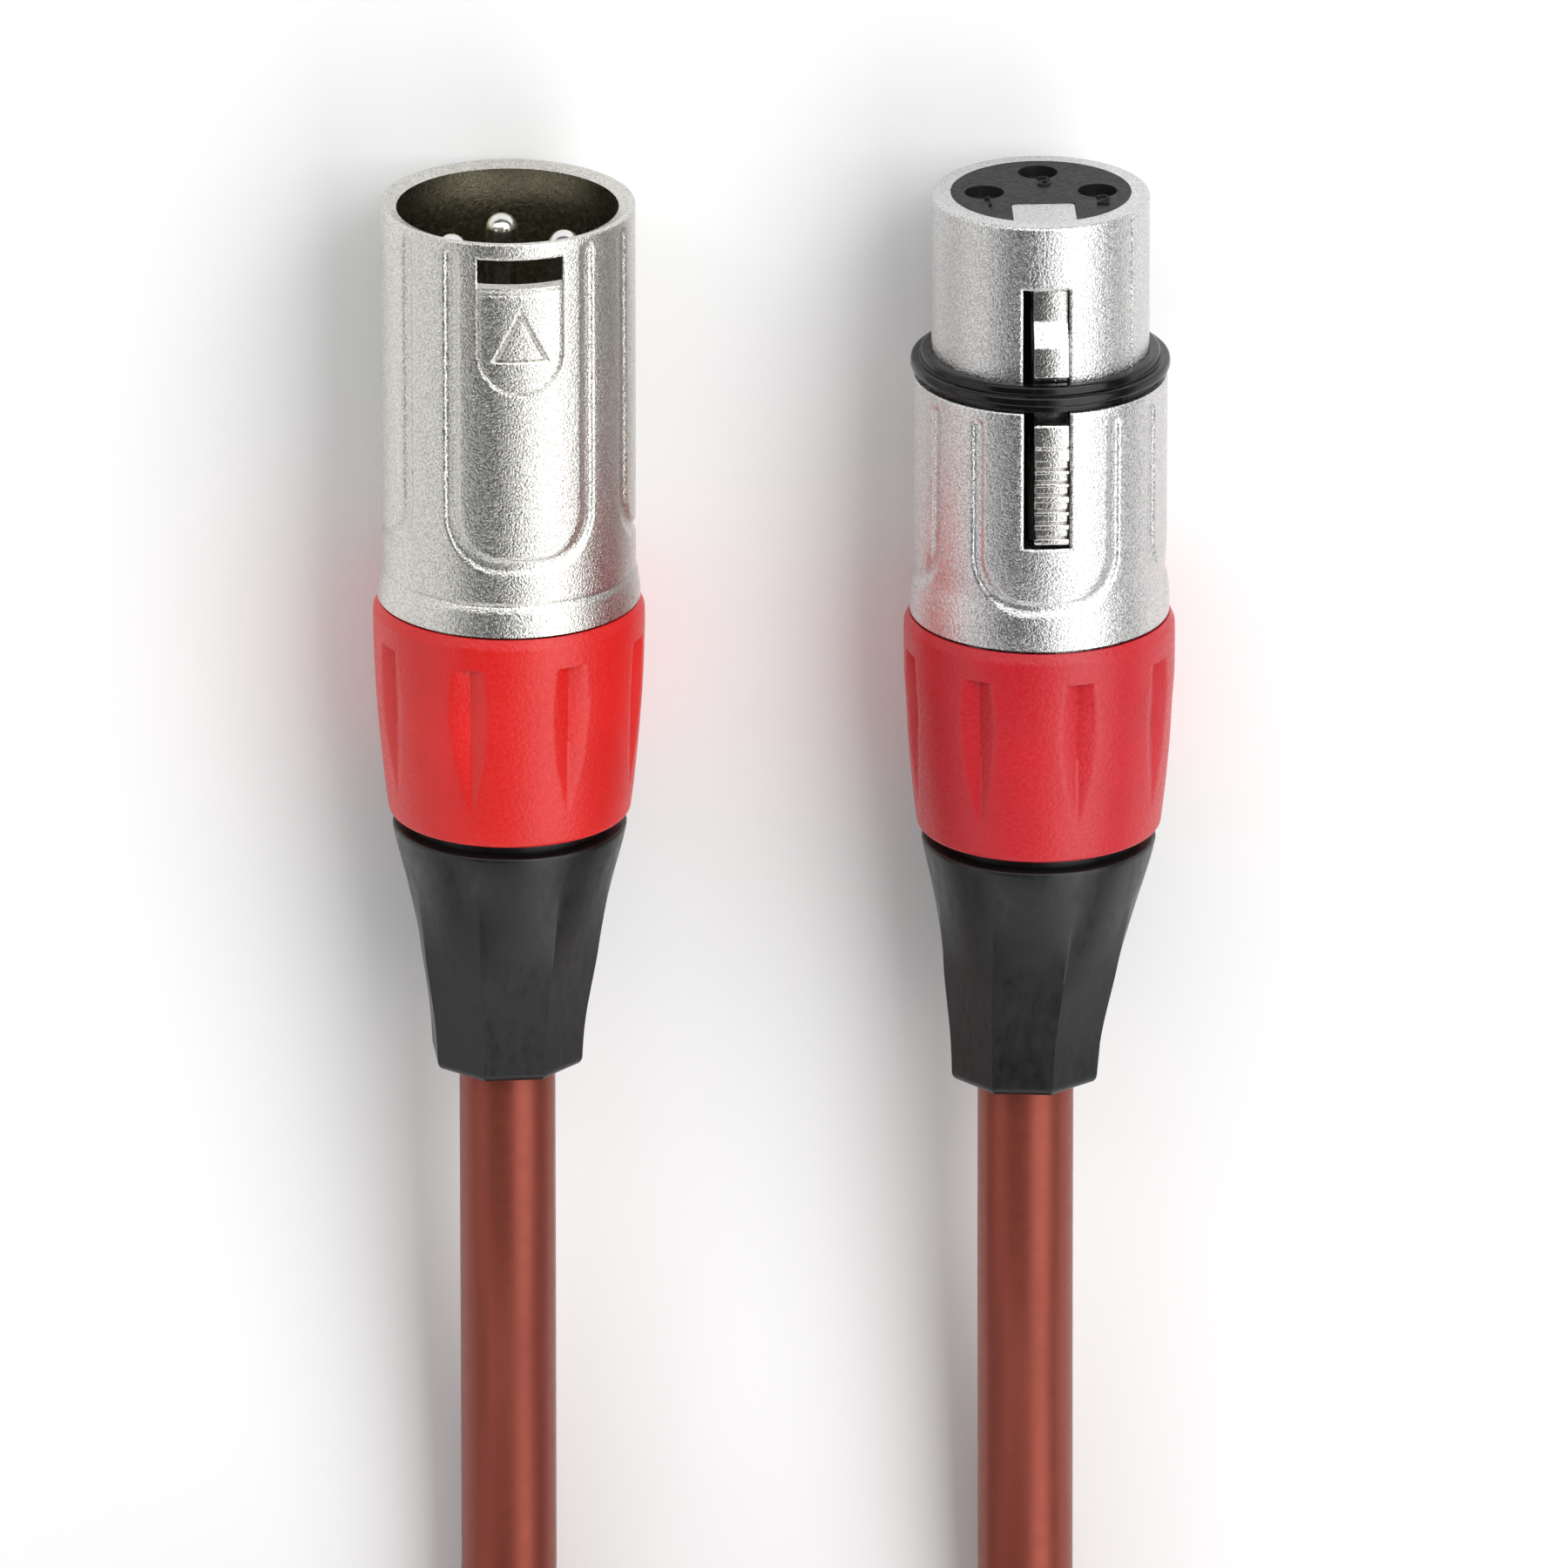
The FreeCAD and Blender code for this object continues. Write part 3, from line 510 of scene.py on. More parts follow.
def area_light(name, place, target, size, power):
    """A softbox. A light to one side has its first size along Y, and one in front has it along X."""
    light = bpy.data.lights.new(name, "AREA")
    light.energy = power
    light.shape = "RECTANGLE"
    light.size, light.size_y = size
    holder = bpy.data.objects.new(name, light)
    holder.location = place
    holder.rotation_euler = (Vector(place) - Vector(target)).to_track_quat("Z", "Y").to_euler()
    bpy.context.scene.collection.objects.link(holder)


# name, place and size in metres, and power: two beside the connectors, one before them and one behind
LIGHTS = [
    ("key_right", (0.41, 0.02, 0.52), (1.3, 0.56), 5.6),
    ("fill_left", (-0.72, 0.02, 0.34), (1.3, 0.5), 2.0),
    ("front", (0.0, 0.66, 0.62), (1.6, 0.5), 5.6),
    ("back", (0.0, -0.86, 0.5), (1.6, 0.4), 3.2),
]


def set_stage():
    """A white floor under the piece, a dim pale world and four softboxes."""
    bpy.ops.mesh.primitive_plane_add(size=6, location=(0, 0, -0.0001))
    floor = bpy.context.object
    floor.name = "floor"
    white = bpy.data.materials.new("pale_floor")
    white.use_nodes = True
    shader = white.node_tree.nodes["Principled BSDF"]
    shader.inputs["Base Color"].default_value = (0.9, 0.9, 0.9, 1)
    shader.inputs["Roughness"].default_value = 0.9
    floor.data.materials.append(white)
    world = bpy.data.worlds.new("studio")
    bpy.context.scene.world = world
    world.use_nodes = True
    background = world.node_tree.nodes["Background"]
    background.inputs["Color"].default_value = (0.96, 0.98, 1.0, 1)
    background.inputs["Strength"].default_value = 0.1
    for name, spot, size, power in LIGHTS:
        area_light(name, spot, (0, 0, 0.01), size, power)
    bpy.context.scene.view_settings.view_transform = "Standard"


set_camera()
set_stage()

# ================================================================ the cable
CORD = 7.1  # its diameter, in mm
COIL_Y = middle("cable_coil")[1]
COIL_LOW, COIL_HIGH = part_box("cable_coil")
FIRST_LAYER = COIL_LOW[2] / MM + CORD / 2
OUTER_TURN = (COIL_HIGH[0] - COIL_LOW[0]) / 2 / MM - CORD / 2
SPLINE_INSET = 0.9886  # the spline's radius over that of its control points


def coil_points():
    """The wound length: two turns wide and four high, wound up the inside and back down the outside."""
    outer, inner = OUTER_TURN, OUTER_TURN - CORD
    slots = [(outer, 0), (inner, 0), (inner, 1), (inner, 2), (inner, 3), (outer, 3), (outer, 2), (outer, 1)]
    start, stop, step = 180, 2880, 20  # degrees
    first_change, apart, width = 510, 340, 80  # where the cable moves to the next slot, in degrees
    found = []
    for degrees in range(start + step, stop, step):
        radius, layer = slots[0]
        for k, ((near, low), (far, high)) in enumerate(zip(slots, slots[1:])):
            change = first_change + apart * k
            share = smooth(degrees, change - width / 2, change + width / 2)
            radius += (far - near) * share
            layer += (high - low) * share
        angle = math.radians(degrees)
        reach = radius / SPLINE_INSET
        found.append((reach * math.cos(angle), COIL_Y + reach * math.sin(angle), FIRST_LAYER + layer * CORD))
    return found


# each lead from its connector to the coil, in mm
MALE_LEAD = [
    (-19.5, -33.43, 10.0),
    (-19.5, -46.5, 10.0),
    (-19.5, -64.0, 6.0),
    (-19.5, -89.0, 3.6),
    (-38.65, -120.0, 3.9),
    (-38.65, -141.0, 4.45),
]
FEMALE_LEAD = [
    (19.5, -34.55, 10.0),
    (19.5, -47.5, 10.0),
    (19.5, -65.0, 6.2),
    (19.5, -89.5, 3.7),
    (38.65, -120.5, 8.9),
    (38.65, -141.5, 11.55),
]
# each end leans a little to -X out of its boot, and the female one comes part of the way back
LEAN = {"male": (-0.25, -0.25, -0.3, -0.33), "female": (-0.9, -0.9, -0.8, -0.7)}


def leaning(route, end):
    """A lead with its points moved sideways by the end's lean."""
    return [(x + lean, y, z) for (x, y, z), lean in zip(route, LEAN[end] + (0.0, 0.0))]


def make_cord():
    """The whole cable as one spline: out of the male boot, round the coil and into the female boot."""
    curve = bpy.data.curves.new("cable", "CURVE")
    curve.dimensions = "3D"
    route = leaning(MALE_LEAD, "male")[:-1] + coil_points() + leaning(FEMALE_LEAD, "female")[-2::-1]
    spline = curve.splines.new("NURBS")
    spline.points.add(len(route) - 1)
    for point, place in zip(spline.points, route):
        point.co = (*(Vector(place) * MM), 1)
    spline.order_u = 3
    spline.use_endpoint_u = True
    spline.resolution_u = 6
    curve.bevel_depth = CORD / 2 * MM
    curve.bevel_resolution = 8
    curve.use_fill_caps = True
    piece = add_object("cable", curve, [JACKET])
    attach(piece, "cable_and_shells")
    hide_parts("cable_male_lead", "cable_female_lead", "cable_coil")
    return piece


cable = make_cord()

# ================================================================ shared surface features
def across_of(angle, radius, centre):
    """The distance round the surface from a line at the centre angle, along the shorter way."""
    return wrapped(angle - centre) * radius


LEG, CORNER = 5.26, 3.8  # a trough's leg from its middle line, and the radius of its bottom corners


def trough(angle, depth, radius, start, bottom, width, sink):
    """Four U-shaped troughs round a sleeve: two long legs and a rounded bottom, one facing each quarter."""
    u = abs(across_of(angle, radius, nearest_of(4, angle)))
    if depth < start:
        off = math.hypot(u - LEG, depth - start)
    elif depth < bottom - CORNER:
        off = abs(u - LEG)
    elif u > LEG - CORNER:
        off = abs(math.hypot(u - LEG + CORNER, depth - bottom + CORNER) - CORNER)
    else:
        off = abs(depth - bottom)
    return sink * (1 - smooth(off, 0.2 * width, 0.56 * width))


def straight_sides(reference, near, far):
    """Moves lines near the latch side so that they stay a fixed distance apart at every radius."""
    near, far = math.radians(near), math.radians(far)

    def bent(angle, radius):
        size = abs(angle)
        if size >= far:
            return angle
        straight = math.asin(min(1.0, reference * math.sin(size) / radius))
        moved = size + (straight - size) * (1 - smooth(size, near, far))
        return math.copysign(moved, angle)

    return bent


def spread(*zones):
    """Angles right round, in radians, from (start, stop, step) zones in degrees that meet end to end."""
    found = []
    for start, stop, step in zones:
        count = max(1, round((stop - start) / step))
        found += [start + (stop - start) * i / count for i in range(count)]
    return [math.radians(a) for a in found]


def repeated(count, first, offsets):
    """The same angles, in degrees about a middle, at count places right round; sorted, in radians."""
    found = [first + 360 / count * k + off for k in range(count) for off in offsets]
    return sorted(wrapped(math.radians(a)) for a in found)


def sleeve_columns(front, front_step, reference, hole_half):
    """Angles for a sleeve, fine at the latch side and at the troughs' legs, with two on the hole's sides."""
    leg, half_leg, coarse, fine = math.degrees(LEG / reference), 4.6, 1.9, 0.75
    legs = [edge % 360 for centre in (0, 90, 180, 270) for edge in (centre - leg, centre + leg)]
    zones, at = [(-front, front, front_step)], front
    for edge in sorted(legs):
        if edge - half_leg < front or edge + half_leg > 360 - front:
            continue
        if edge - half_leg > at:
            zones.append((at, edge - half_leg, coarse))
        zones.append((max(at, edge - half_leg), edge + half_leg, fine))
        at = edge + half_leg
    zones.append((at, 360 - front, coarse))
    columns = sorted(wrapped(a) for a in spread(*zones))
    side = math.degrees(math.asin(hole_half / reference))
    for value in (math.radians(-side), math.radians(side)):
        nearest = min(range(len(columns)), key=lambda i: abs(columns[i] - value))
        columns[nearest] = value
    return columns


def in_hole(hole, reference, angle, depth):
    """Whether a place is inside a parallel-sided hole on the latch side."""
    return (abs(reference * math.sin(angle)) < hole["half"] and math.cos(angle) > 0
            and hole["start"] < depth < hole["end"])


# ================================================================ male shell
MALE_RADIUS = 9.365
MALE_PROFILE = through([(0.0, 9.36), (14, 9.365), (25, 9.34), (27, 9.35), (28.2, 9.36)])
SLOT = {"half": 3.15, "start": 1.26, "end": 3.5}
TONGUE = {"half": 3.175, "end": 11.8}
ARROW = {"half": 1.8, "tip": 5.65, "base": 9.05}
MOUTH = {"width": 0.86, "depth": 0.36}  # the sloping rim inside the mating face
MALE_SEAT = {"radius": 6.6, "start": 13.2, "end": 14.6}  # the step that holds the insert
MALE_BORE, TAIL_BORE = 8.15, 7.15
FLARE = 28.3  # where the shell widens towards the nut


def male_outer(angle, depth):
    """The male surface: a seam and a flare at the back, the troughs, and the tongue with its triangle."""
    if depth <= FLARE:
        radius = MALE_PROFILE(depth)
        radius -= 0.09 * dip(depth - 28.2, 0.16)
    else:
        radius = 9.36 + 0.12 * smooth(depth, FLARE, 28.75) + 0.2 * smooth(depth, 28.4, 30.4)
    radius -= 0.17 * (rounding(depth, 0.22) / 0.22)
    radius -= trough(angle, depth, MALE_RADIUS, 1.2, 25.1, 1.25, 0.21)
    x = MALE_RADIUS * math.sin(angle) if abs(angle) < 1.2 else 99
    if abs(x) < 4 and SLOT["start"] - 0.4 < depth < TONGUE["end"] + 0.6:
        foot = TONGUE["end"] - TONGUE["half"]
        inside = TONGUE["half"] - (abs(x) if depth < foot else math.hypot(x, depth - foot))
        if depth > SLOT["end"] - 0.2:
            radius -= 0.17 * smooth(inside, -0.03, 0.12) + 0.07 * dip(inside - 0.1, 0.1)
            lip = 0.1 * dip(depth - 3.95, 0.22)
            radius -= lip * smooth(inside, 0.0, 0.15)
            slope = math.hypot(ARROW["half"], ARROW["base"] - ARROW["tip"])
            side = (depth - ARROW["tip"]) * ARROW["half"] - abs(x) * (ARROW["base"] - ARROW["tip"])
            side /= slope
            arrow = min(side, ARROW["base"] - depth)
            radius += 0.15 * smooth(arrow, -0.02, 0.1)
            groove = 0.11 + 0.1 * smooth(side - arrow, 0.0, 0.2)
            radius -= groove * dip(arrow + 0.09, 0.1)
        else:
            edge = max(abs(x) - SLOT["half"], SLOT["start"] - depth)
            radius -= 0.07 * (1 - smooth(edge, 0.0, 0.18))
    return radius


def male_inner(angle, depth):
    if depth < MOUTH["depth"]:
        return MALE_BORE + MOUTH["width"] * (1 - depth / MOUTH["depth"])
    if depth < MALE_SEAT["start"]:
        return MALE_BORE
    return MALE_SEAT["radius"] if depth <= MALE_SEAT["end"] else TAIL_BORE


def make_male_shell():
    columns = sleeve_columns(22.5, 0.55, MALE_RADIUS, SLOT["half"])
    rows = lines([0.0, 0.22], 0.045) + lines([0.29, MOUTH["depth"], 1.0, SLOT["start"]], 0.16)
    rows += lines([1.5, 3.3], 0.45) + lines([SLOT["end"], 12.0], 0.105) + lines([12.6, 21.6], 1.1)
    rows += lines([22.0, 27.4], 0.2) + lines([27.7, 28.7], 0.09) + lines([28.9, 30.5], 0.3)
    return shell("male_shell_skin", "male", columns, rows, male_outer, male_inner, [MALE_NICKEL, MALE_PAINTED_SHADE_INSIDE],
                 hole=lambda angle, depth: in_hole(SLOT, MALE_RADIUS, angle, depth),
                 warp=straight_sides(MALE_RADIUS, 22, 55), mouth=MOUTH["depth"])


# ================================================================ female shell
FEMALE_RADIUS = 9.34
NOSE_RADIUS = 7.985
SLEEVE_START = 14.0
SLEEVE_PROFILE = through([(14.0, 9.34), (26.5, 9.34), (28.7, 9.25), (30.0, 9.42), (31.4, 9.55), (32.4, 9.55)])
WINDOW = {"half": 1.7, "start": 4.9, "end": 24.5}
KEYWAY_ANGLE = math.radians(53)  # the fine groove along the nose


def female_outer(angle, depth):
    """The female surface: the nose with its groove, the sleeve with its troughs, and the window's edge."""
    if depth < SLEEVE_START - 0.01:
        radius = NOSE_RADIUS - 0.3 * (rounding(depth, 0.34) / 0.34)
        groove = abs(across_of(angle, NOSE_RADIUS, KEYWAY_ANGLE))
        radius -= 0.16 * (1 - smooth(groove, 0.05, 0.16))
    else:
        radius = SLEEVE_PROFILE(depth)
        radius -= trough(angle, depth, FEMALE_RADIUS, 15.3, 29.2, 1.05, 0.2)
        radius -= 0.08 * (rounding(depth - SLEEVE_START, 0.3) / 0.3)
    if math.cos(angle) > 0:
        x = FEMALE_RADIUS * math.sin(angle)
        edge = max(abs(x) - WINDOW["half"], WINDOW["start"] - depth, depth - WINDOW["end"])
        if -0.5 < edge < 0.3:
            radius -= 0.09 * (1 - smooth(edge, 0.0, 0.2))
    return radius


def female_inner(angle, depth):
    return 6.62 if depth < 15.45 else TAIL_BORE


def make_female_shell():
    columns = sleeve_columns(13.5, 0.7, FEMALE_RADIUS, WINDOW["half"])
    groove = [KEYWAY_ANGLE + math.radians(a) for a in (-1.2, -0.8, -0.4, 0.0, 0.4, 0.8, 1.2)]
    columns = sorted([c for c in columns if abs(c - KEYWAY_ANGLE) > math.radians(1.4)] + groove)
    rows = lines([0.0, 0.34], 0.05) + lines([0.5, WINDOW["start"] - 0.3], 0.6)
    rows += lines([WINDOW["start"] - 0.2, WINDOW["start"]], 0.07) + lines([5.2, 13.6], 0.6)
    rows += [13.98, 14.0, 14.06, 14.14, 14.24, 14.4] + lines([14.6, 16.0], 0.2) + lines([16.5, 23.9], 0.6)
    rows += lines([24.2, WINDOW["end"]], 0.15) + [24.57, 24.65, 24.75] + lines([24.9, 30.2], 0.19)
    rows += lines([30.5, 32.4], 0.35)
    return shell("female_shell_skin", "female", columns, rows, female_outer, female_inner,
                 [FEMALE_NICKEL, FEMALE_PAINTED_SHADE_INSIDE],
                 hole=lambda angle, depth: in_hole(WINDOW, FEMALE_RADIUS, angle, depth),
                 warp=straight_sides(FEMALE_RADIUS, 14, 50))


def make_key():
    """The metal key in the female face, its root inside the wall and its free corners rounded."""
    half, free, root = 2.33, 2.6, 6.8
    front, back, edge = 0.012, 2.6, 0.08
    corners = [(-half, root), (-half, free), (half, free), (half, root)]
    outline = softened(corners, [0, 0.42, 0.42, 0])
    centre = (free + root) / 2
    vertices = []
    for depth, inset in ((front, edge), (front + edge * 0.3, edge * 0.3), (front + edge, 0.0), (back, 0.0)):
        for across, height in outline:
            side = across * (1 - inset / half)
            level = height if height > centre else height + inset
            vertices.append(to_row("female", side, depth, level))
    count = len(outline)
    faces = [tuple(range(count)), tuple(reversed(range(3 * count, 4 * count)))]
    for i in range(3):
        for j in range(count):
            k = (j + 1) % count
            faces.append((i * count + j, (i + 1) * count + j, (i + 1) * count + k, i * count + k))
    return finish_mesh("female_key", vertices, faces, [FEMALE_NICKEL], sharp=30)


# ================================================================ nuts
NUT = {"length": 16.6, "chamfer": 0.8, "flutes": 8, "flute_radius": 9.9, "flute_top": 2.4, "flute_end": 14.2}
MALE_NUT = through([(0.0, 9.93), (0.6, 9.97), (1.5, 10.0), (4.0, 9.95), (6.8, 9.83), (9.5, 9.64),
                    (12.2, 9.40), (15.0, 9.11), (16.6, 8.9)])
FEMALE_NUT = through([(0.0, 9.9), (0.6, 9.94), (1.4, 9.98), (4.3, 9.96), (7.0, 9.8), (9.8, 9.65),
                      (12.5, 9.43), (15.2, 9.15), (16.6, 8.98)])
FLUTE_HALF = through([(2.4, 1.15), (6.0, 1.45), (9.5, 1.2), (12.2, 0.62), (14.2, 0.02)])
FLUTE_SINK = through([(2.4, 0.52), (6.0, 0.52), (9.5, 0.38), (12.2, 0.16), (14.2, 0.0)])


def make_nut(end, profile, phase, materials):
    """A nut with eight pointed flutes; the phase turns them, in degrees."""
    start = depth_of(end, f"{end}_nut", 1)
    phase = math.radians(phase)

    def outer(angle, depth):
        t = depth - start
        radius = profile(t) - 0.3 * max(0.0, 1 - t / NUT["chamfer"])
        radius -= 0.22 * (rounding(NUT["length"] - t, 0.3) / 0.3)
        if NUT["flute_top"] - 0.03 <= t < NUT["flute_end"]:
            u = abs(across_of(angle, NUT["flute_radius"], nearest_of(NUT["flutes"], angle, phase)))
            half = FLUTE_HALF(t)
            if u < half:
                radius -= FLUTE_SINK(t) * (1 - u / half)
        return radius

    def inner(angle, depth):
        """A sloping mouth round the shell, the thread's wall, and the narrower way out for the boot."""
        t, mouth = depth - start, 0.35
        if t < mouth:
            return 9.42 - 0.2 * t / mouth
        if t < 0.45:
            return 8.5
        return 8.08 if t < 10.1 else 7.75

    half_flute = [1.0, 2.0, 3.0, 4.1, 5.2, 6.3, 7.4, 8.6]
    between = [10.8, 13.1, 15.4, 17.7, 20.0, 22.5, 25.0, 27.3, 29.6, 31.9, 34.2]
    offsets = [-off for off in reversed(half_flute)] + [0] + half_flute + between
    columns = repeated(NUT["flutes"], math.degrees(phase), offsets)
    steps = lines([0.0, NUT["chamfer"]], 0.2) + [0.86, 1.3, 1.9, 2.3, 2.37, 2.4]
    steps += lines([2.6, NUT["flute_end"]], 0.3) + lines([14.6, 16.3], 0.4)
    steps += [16.37, 16.44, 16.51, 16.57, 16.6]
    rows = [start + t for t in steps]
    return shell(f"{end}_nut_skin", end, columns, rows, outer, inner, materials, roll=0.0)


# ================================================================ boots
SKIRT = through([(0.0, 8.75), (1.5, 8.45), (3.0, 8.08), (4.5, 7.72), (6.0, 7.4), (7.5, 7.12), (9.0, 6.84),
                 (10.5, 6.6), (12.0, 6.35), (13.5, 6.1), (15.0, 5.87), (16.5, 5.7), (18.0, 5.6),
                 (19.3, 5.55)])
BOOT = {"neck": 7.5, "length": 19.3, "gap": 0.35, "sides": 8, "lean": {"male": -0.25, "female": -0.9}}
FLAT = 0.9635  # the middle of a flat, over the round radius that it comes from


def make_boot(end, turn):
    """A boot: a neck inside the nut and a round skirt that turns into eight flats towards the cable."""
    back = depth_of(end, f"{end}_boot", 0)
    skirt = back - BOOT["length"]
    front = skirt - 7.0
    turn = math.radians(turn)

    def outer(angle, depth):
        t = depth - skirt
        if t < BOOT["gap"] - 0.01:
            return BOOT["neck"]
        off = across_of(angle, 1.0, nearest_of(BOOT["sides"], angle, turn))
        flat = smooth(t, 2.5, 12.0)
        radius = SKIRT(t) * (1 + flat * (FLAT / math.cos(off) - 1))
        radius -= 0.25 * (rounding(t - BOOT["gap"], 0.3) / 0.3)
        return radius - 0.55 * (rounding(BOOT["length"] - t, 0.7) / 0.7)

    def inner(angle, depth):
        t = depth - skirt
        if t < 3:
            return 6.4 - 2.6 * smooth(t, -4, 3)
        return 3.72 + 0.35 * (1 - smooth(BOOT["length"] - t, 0.0, 0.5))

    offsets = lines([-22.5, -18.0], 0.9) + lines([-14.5, 14.5], 3.2) + lines([18.0, 21.6], 0.9)
    columns = repeated(BOOT["sides"], math.degrees(turn), offsets)
    rows = [front, skirt + BOOT["gap"] - 0.02] + [skirt + BOOT["gap"] + t for t in lines([0.0, 0.3], 0.06)]
    rows += [skirt + t for t in lines([0.9, 18.6], 0.45)]
    rows += [skirt + t for t in (18.75, 18.9, 19.02, 19.12, 19.2, 19.26, 19.3)]
    return shell(f"{end}_boot_skin", end, columns, rows, outer, inner, [BOOT_BLACK], roll=0.0,
                 sway=lambda depth: BOOT["lean"][end] * smooth(depth - skirt, 0.0, BOOT["length"]))


# ================================================================ male contacts
CIRCLE = 4.15  # the radius of the contacts' circle
PIN = {"radius": 1.2, "shank": 1.5, "flange": 1.9, "cup": 0.95, "face": 13.2, "step": 17.0}


def make_pin(number, spot):
    """A contact pin with a round tip, its shank and flange in the insert, and its solder cup behind."""
    radius, shank, flange, cup = PIN["radius"], PIN["shank"], PIN["flange"], PIN["cup"]
    tip = depth_of("male", f"male_pin_{number}", 1)
    back = depth_of("male", f"male_pin_{number}", 0)
    outline = [(radius * math.sin(a), tip + radius * (1 - math.cos(a)))
               for a in (math.pi / 2 * k / 14 for k in range(15))]
    outline += [(radius, PIN["face"]), (shank, PIN["face"]), (shank, PIN["step"]), (flange, PIN["step"]),
                (flange, back - 3.5), (shank, back - 3.5), (shank, back), (cup, back), (cup, back - 3.0),
                (0.0, back - 3.0)]
    return lathe(f"male_pin_{number}_turned", "male", outline, [PLATE], count=56, spot=spot)


# ================================================================ threaded tails
def make_thread(end):
    """The threaded tail of a shell, which the nut covers until it is unscrewed."""
    start = depth_of(end, f"{end}_nut", 1) - 0.22
    finish = depth_of(end, f"{end}_shell", 0)
    pitch = 1.5

    def outer(angle, depth):
        wave = (depth / pitch - angle / TAU) % 1.0
        crest = 1 - smooth(abs(wave - 0.5), 0.1, 0.4)
        ends = smooth(depth, start, start + 0.9) * smooth(finish - depth, 0.0, 0.6)
        return 7.97 - 0.42 * (1 - crest * ends)

    rows = lines([start, finish], 0.16)
    return shell(f"{end}_thread", end, around(112), rows, outer, lambda angle, depth: TAIL_BORE,
                 [MALE_NICKEL if end == "male" else FEMALE_NICKEL])


# ================================================================ ring
def make_ring():
    """The sealing ring, with a lip that stands out from it."""
    edge, back = 12.05, 13.98
    corners = [(8.0, edge), (8.78, edge), (8.84, 12.66), (9.5, 12.62),
               (9.54, 13.4), (8.95, 13.46), (8.93, back), (8.0, back)]
    outline = softened(corners, [0.05, 0.28, 0.1, 0.3, 0.3, 0.06, 0.05, 0.05], steps=5)
    return lathe("female_ring_skin", "female", outline, [RING_BLACK], count=160, sharp=50)


# ================================================================ latch
def make_latch():
    """The pressed lever: a hook in the nose window, a bridge under the ring, and a ribbed thumb tab."""
    # (depth, height) and the radius of the corner there
    top = [((3.0, 4.5), 0.3), ((3.0, 6.05), 0.3), ((4.75, 6.1), 0.1), ((5.15, 7.2), 0.25), ((7.45, 7.3), 0.6),
           ((9.15, 8.55), 0.45), ((11.45, 8.66), 0.2), ((11.6, 7.5), 0.1), ((14.35, 7.5), 0.2),
           ((14.95, 9.12), 0.35), ((16.5, 9.3), 0.1), ((16.62, 9.18), 0.0), ((16.74, 9.34), 0.1)]
    for groove in (18.0, 19.0, 20.0, 21.2, 22.2, 23.3):
        top += [((groove - 0.38, 9.4), 0.1), ((groove - 0.24, 8.95), 0.06), ((groove + 0.24, 8.95), 0.06),
                ((groove + 0.38, 9.4), 0.1)]
    top += [((24.2, 9.36), 0.3), ((24.2, 8.15), 0.2), ((15.95, 8.1), 0.3), ((15.0, 6.25), 0.3),
            ((5.7, 6.2), 0.2), ((5.0, 4.5), 0.2)]
    outline = softened([corner for corner, _ in top], [radius for _, radius in top])
    middle_x = middle("female_latch")[0] - ENDS["female"]["x"]
    lift = middle("female_latch")[2] - ENDS["female"]["z"]
    turn = ENDS["female"]["roll"]
    shift = middle_x * math.cos(turn) - lift * math.sin(turn)
    return slab("female_latch_lever", "female", outline, 1.285, [LATCH], bevel=0.14, shift=shift)


LEAF = {"floor": 2.6, "top": 6.15, "thick": 0.25, "kept": 0.6}


def make_leaf():
    """The leaf spring under the lever: a foot on the channel's floor and an arm that rises to the lever."""
    floor, top, thick = LEAF["floor"], LEAF["top"], LEAF["thick"]
    outline = softened([(5.5, floor), (8.2, floor), (13.6, top - thick), (14.4, top - thick), (14.4, top),
                        (13.45, top), (8.05, floor + thick), (5.5, floor + thick)],
                       [0.05, 1.2, 0.9, 0.05, 0.05, 1.1, 1.4, 0.05], steps=6)
    return slab("latch_leaf", "female", outline, 0.9, [SPRING], bevel=0.05)


# ================================================================ numerals beside the contact mouths
def make_numerals():
    """Small raised contact numbers on the insert, drawn as strokes."""
    wide, high, right, below, depth = 1.2, 1.5, 0.3, 2.15, -0.05  # the strokes' scale, and where they stand
    strokes = {
        (-CIRCLE, 0.0): [[(0.0, -0.55), (0.0, 0.55), (-0.25, 0.3)]],
        (CIRCLE, 0.0): [[(-0.32, 0.28), (-0.18, 0.5), (0.12, 0.53), (0.31, 0.3), (0.22, 0.02),
                         (-0.33, -0.55), (0.34, -0.55)]],
        (0.0, -CIRCLE): [[(-0.32, 0.42), (-0.1, 0.55), (0.16, 0.52), (0.3, 0.3), (0.2, 0.06), (-0.06, 0.0)],
                         [(-0.06, 0.0), (0.24, -0.08), (0.34, -0.3), (0.17, -0.53), (-0.12, -0.56),
                          (-0.34, -0.42)]],
    }
    curve = bpy.data.curves.new("female_numerals", "CURVE")
    curve.dimensions = "3D"
    curve.bevel_depth = 0.13 * MM
    curve.bevel_resolution = 3
    curve.use_fill_caps = True
    for (across, height), lines_of in strokes.items():
        for line in lines_of:
            spline = curve.splines.new("POLY")
            spline.points.add(len(line) - 1)
            for point, (u, v) in zip(spline.points, line):
                spot = to_row("female", across + right + wide * u, depth, height + below - high * v)
                point.co = (*spot, 1)
    return add_object("female_numerals", curve, [NUMERAL])


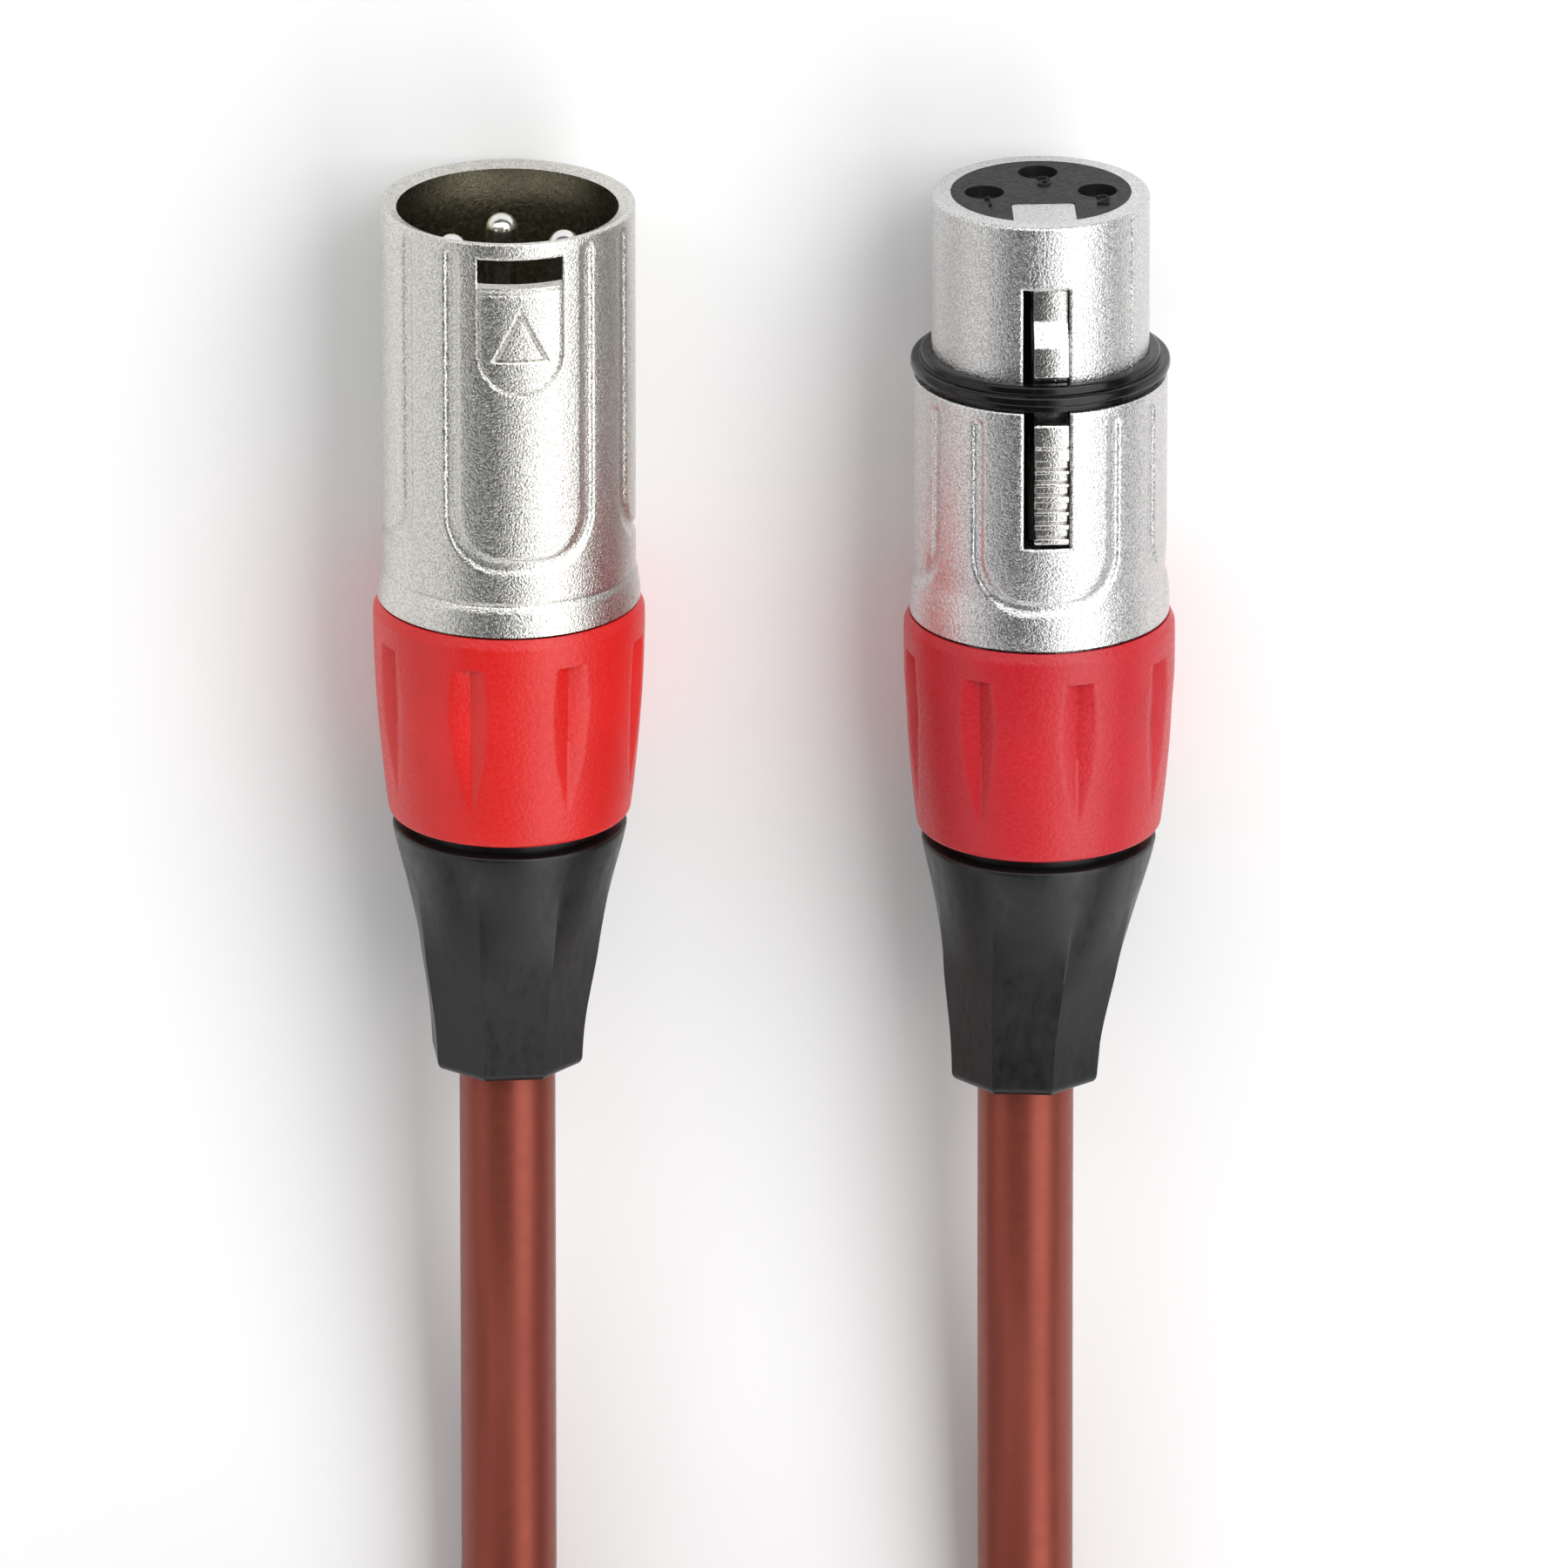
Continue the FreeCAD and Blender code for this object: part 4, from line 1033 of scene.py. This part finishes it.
# ================================================================ tie strap
def make_tie():
    """A hook and loop strap round the coil, its loose end lapped over itself on the outer side."""
    low, high = (Vector(c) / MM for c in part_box("cable_tie"))
    thick, corner = 0.85, 3.3
    half = (high.x - low.x) / 2 - 0.1
    base = [(low.y, low.z), (high.y, low.z), (high.y, high.z), (low.y, high.z)]
    inner = [(a + (thick / 2 if a == low.y else -thick / 2), b + (thick / 2 if b == low.z else -thick / 2))
             for a, b in base]
    loop = softened(inner, [corner] * 4, steps=10)
    path = []
    for a, b in zip(loop, loop[1:] + loop[:1]):
        count = max(1, round(math.hypot(b[0] - a[0], b[1] - a[1]) / 0.9))
        path += [(a[0] + (b[0] - a[0]) * i / count, a[1] + (b[1] - a[1]) * i / count) for i in range(count)]
    across = [-1.0, -0.985, -0.95] + [-0.9 + 1.8 * i / 14 for i in range(15)] + [0.95, 0.985, 1.0]
    vertices, faces = [], []

    def ribbon(points, closed, lift):
        first = len(vertices)
        total = len(points)
        ring = [(u, 0.5 * (1 - 0.5 * rounding(1 - abs(u), 0.06) / 0.06)) for u in across]
        ring += [(u, -h) for u, h in reversed(ring)]
        for i, (y, z) in enumerate(points):
            before = points[(i - 1) % total] if closed or i else points[i]
            after = points[(i + 1) % total] if closed or i < total - 1 else points[i]
            along = Vector((after[0] - before[0], after[1] - before[1])).normalized()
            normal = Vector((along.y, -along.x))
            fade = 1.0 if closed else min(1.0, 0.25 + min(i, total - 1 - i) / 2)
            for u, h in ring:
                reach = lift + h * thick * fade
                spot = (u * half, y + normal.x * reach, z + normal.y * reach)
                vertices.append(Vector([value * MM for value in spot]))
        size = len(ring)
        spans = total if closed else total - 1
        for i in range(spans):
            j = (i + 1) % total
            for k in range(size):
                m = (k + 1) % size
                faces.append((first + i * size + k, first + j * size + k, first + j * size + m,
                              first + i * size + m))
        if not closed:
            faces.append(tuple(first + k for k in range(size)))
            faces.append(tuple(first + (total - 1) * size + k for k in reversed(range(size))))

    ribbon(path, True, 0.0)
    lap = [(low.y + thick / 2, z) for z in lines([5.0, 21.5], 0.75)]
    ribbon(list(reversed(lap)), False, thick * 0.98)
    return finish_mesh("tie_strap", vertices, faces, [STRAP], sharp=50)


# ================================================================ put together
ROOT = "cable_and_shells"


def place(piece, body, slot, *nodes):
    """Puts a piece on its body, in place of the nodes that it shows better."""
    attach(piece, body)
    if nodes:
        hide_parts(*nodes)
    return piece


place(make_male_shell(), ROOT, "nickel", "male_shell")
for number, spot in enumerate([(CIRCLE, 0.0), (-CIRCLE, 0.0), (0.0, -CIRCLE)], 1):
    place(make_pin(number, spot), ROOT, "contact_metal", f"male_pin_{number}")
place(make_thread("male"), ROOT, "nickel")
place(make_female_shell(), ROOT, "nickel", "female_shell")
place(make_thread("female"), ROOT, "nickel")
place(make_key(), ROOT, "nickel")
place(make_ring(), ROOT, "black_ring", "female_ring")
place(make_numerals(), ROOT, "black_ring")
place(make_latch(), "latch", "latch_metal", "female_latch")
leaf = place(make_leaf(), ROOT, "spring_metal", "female_latch_spring")
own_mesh(leaf)
place(make_nut("male", MALE_NUT, 28.0, [MALE_RED]), "male_nut", "red_nut", "male_nut")
place(make_nut("female", FEMALE_NUT, 17.0, [FEMALE_RED]), "female_nut", "red_nut", "female_nut")
place(make_boot("male", 6.0), "male_boot", "black_boot", "male_boot")
place(make_boot("female", -3.0), "female_boot", "black_boot", "female_boot")
tie = place(make_tie(), ROOT, "tie_strap", "cable_tie")


# ================================================================ the end
# the material of each slot, for the nodes that are shown as they are
CAD_LOOKS = {
    "contact_metal": PLATE,
    "spring_metal": SPRING,
    "clamp_plastic": NYLON,
    "cable_jacket": JACKET,
    "core_red": CORE_RED,
    "core_white": CORE_WHITE,
    "bare_copper": COPPER,
    "black_sleeve": SLEEVING,
    "dark_insert": INSERT_BLACK,
    "nickel": MALE_NICKEL,
    "red_nut": MALE_RED,
    "black_boot": BOOT_BLACK,
    "black_ring": RING_BLACK,
    "latch_metal": LATCH,
    "tie_strap": STRAP,
}
for part in frame["record"]["subparts"]:
    node = frame["nodes"][part["node"]]
    node.data.materials.clear()
    node.data.materials.append(CAD_LOOKS[part["material_slot"]])
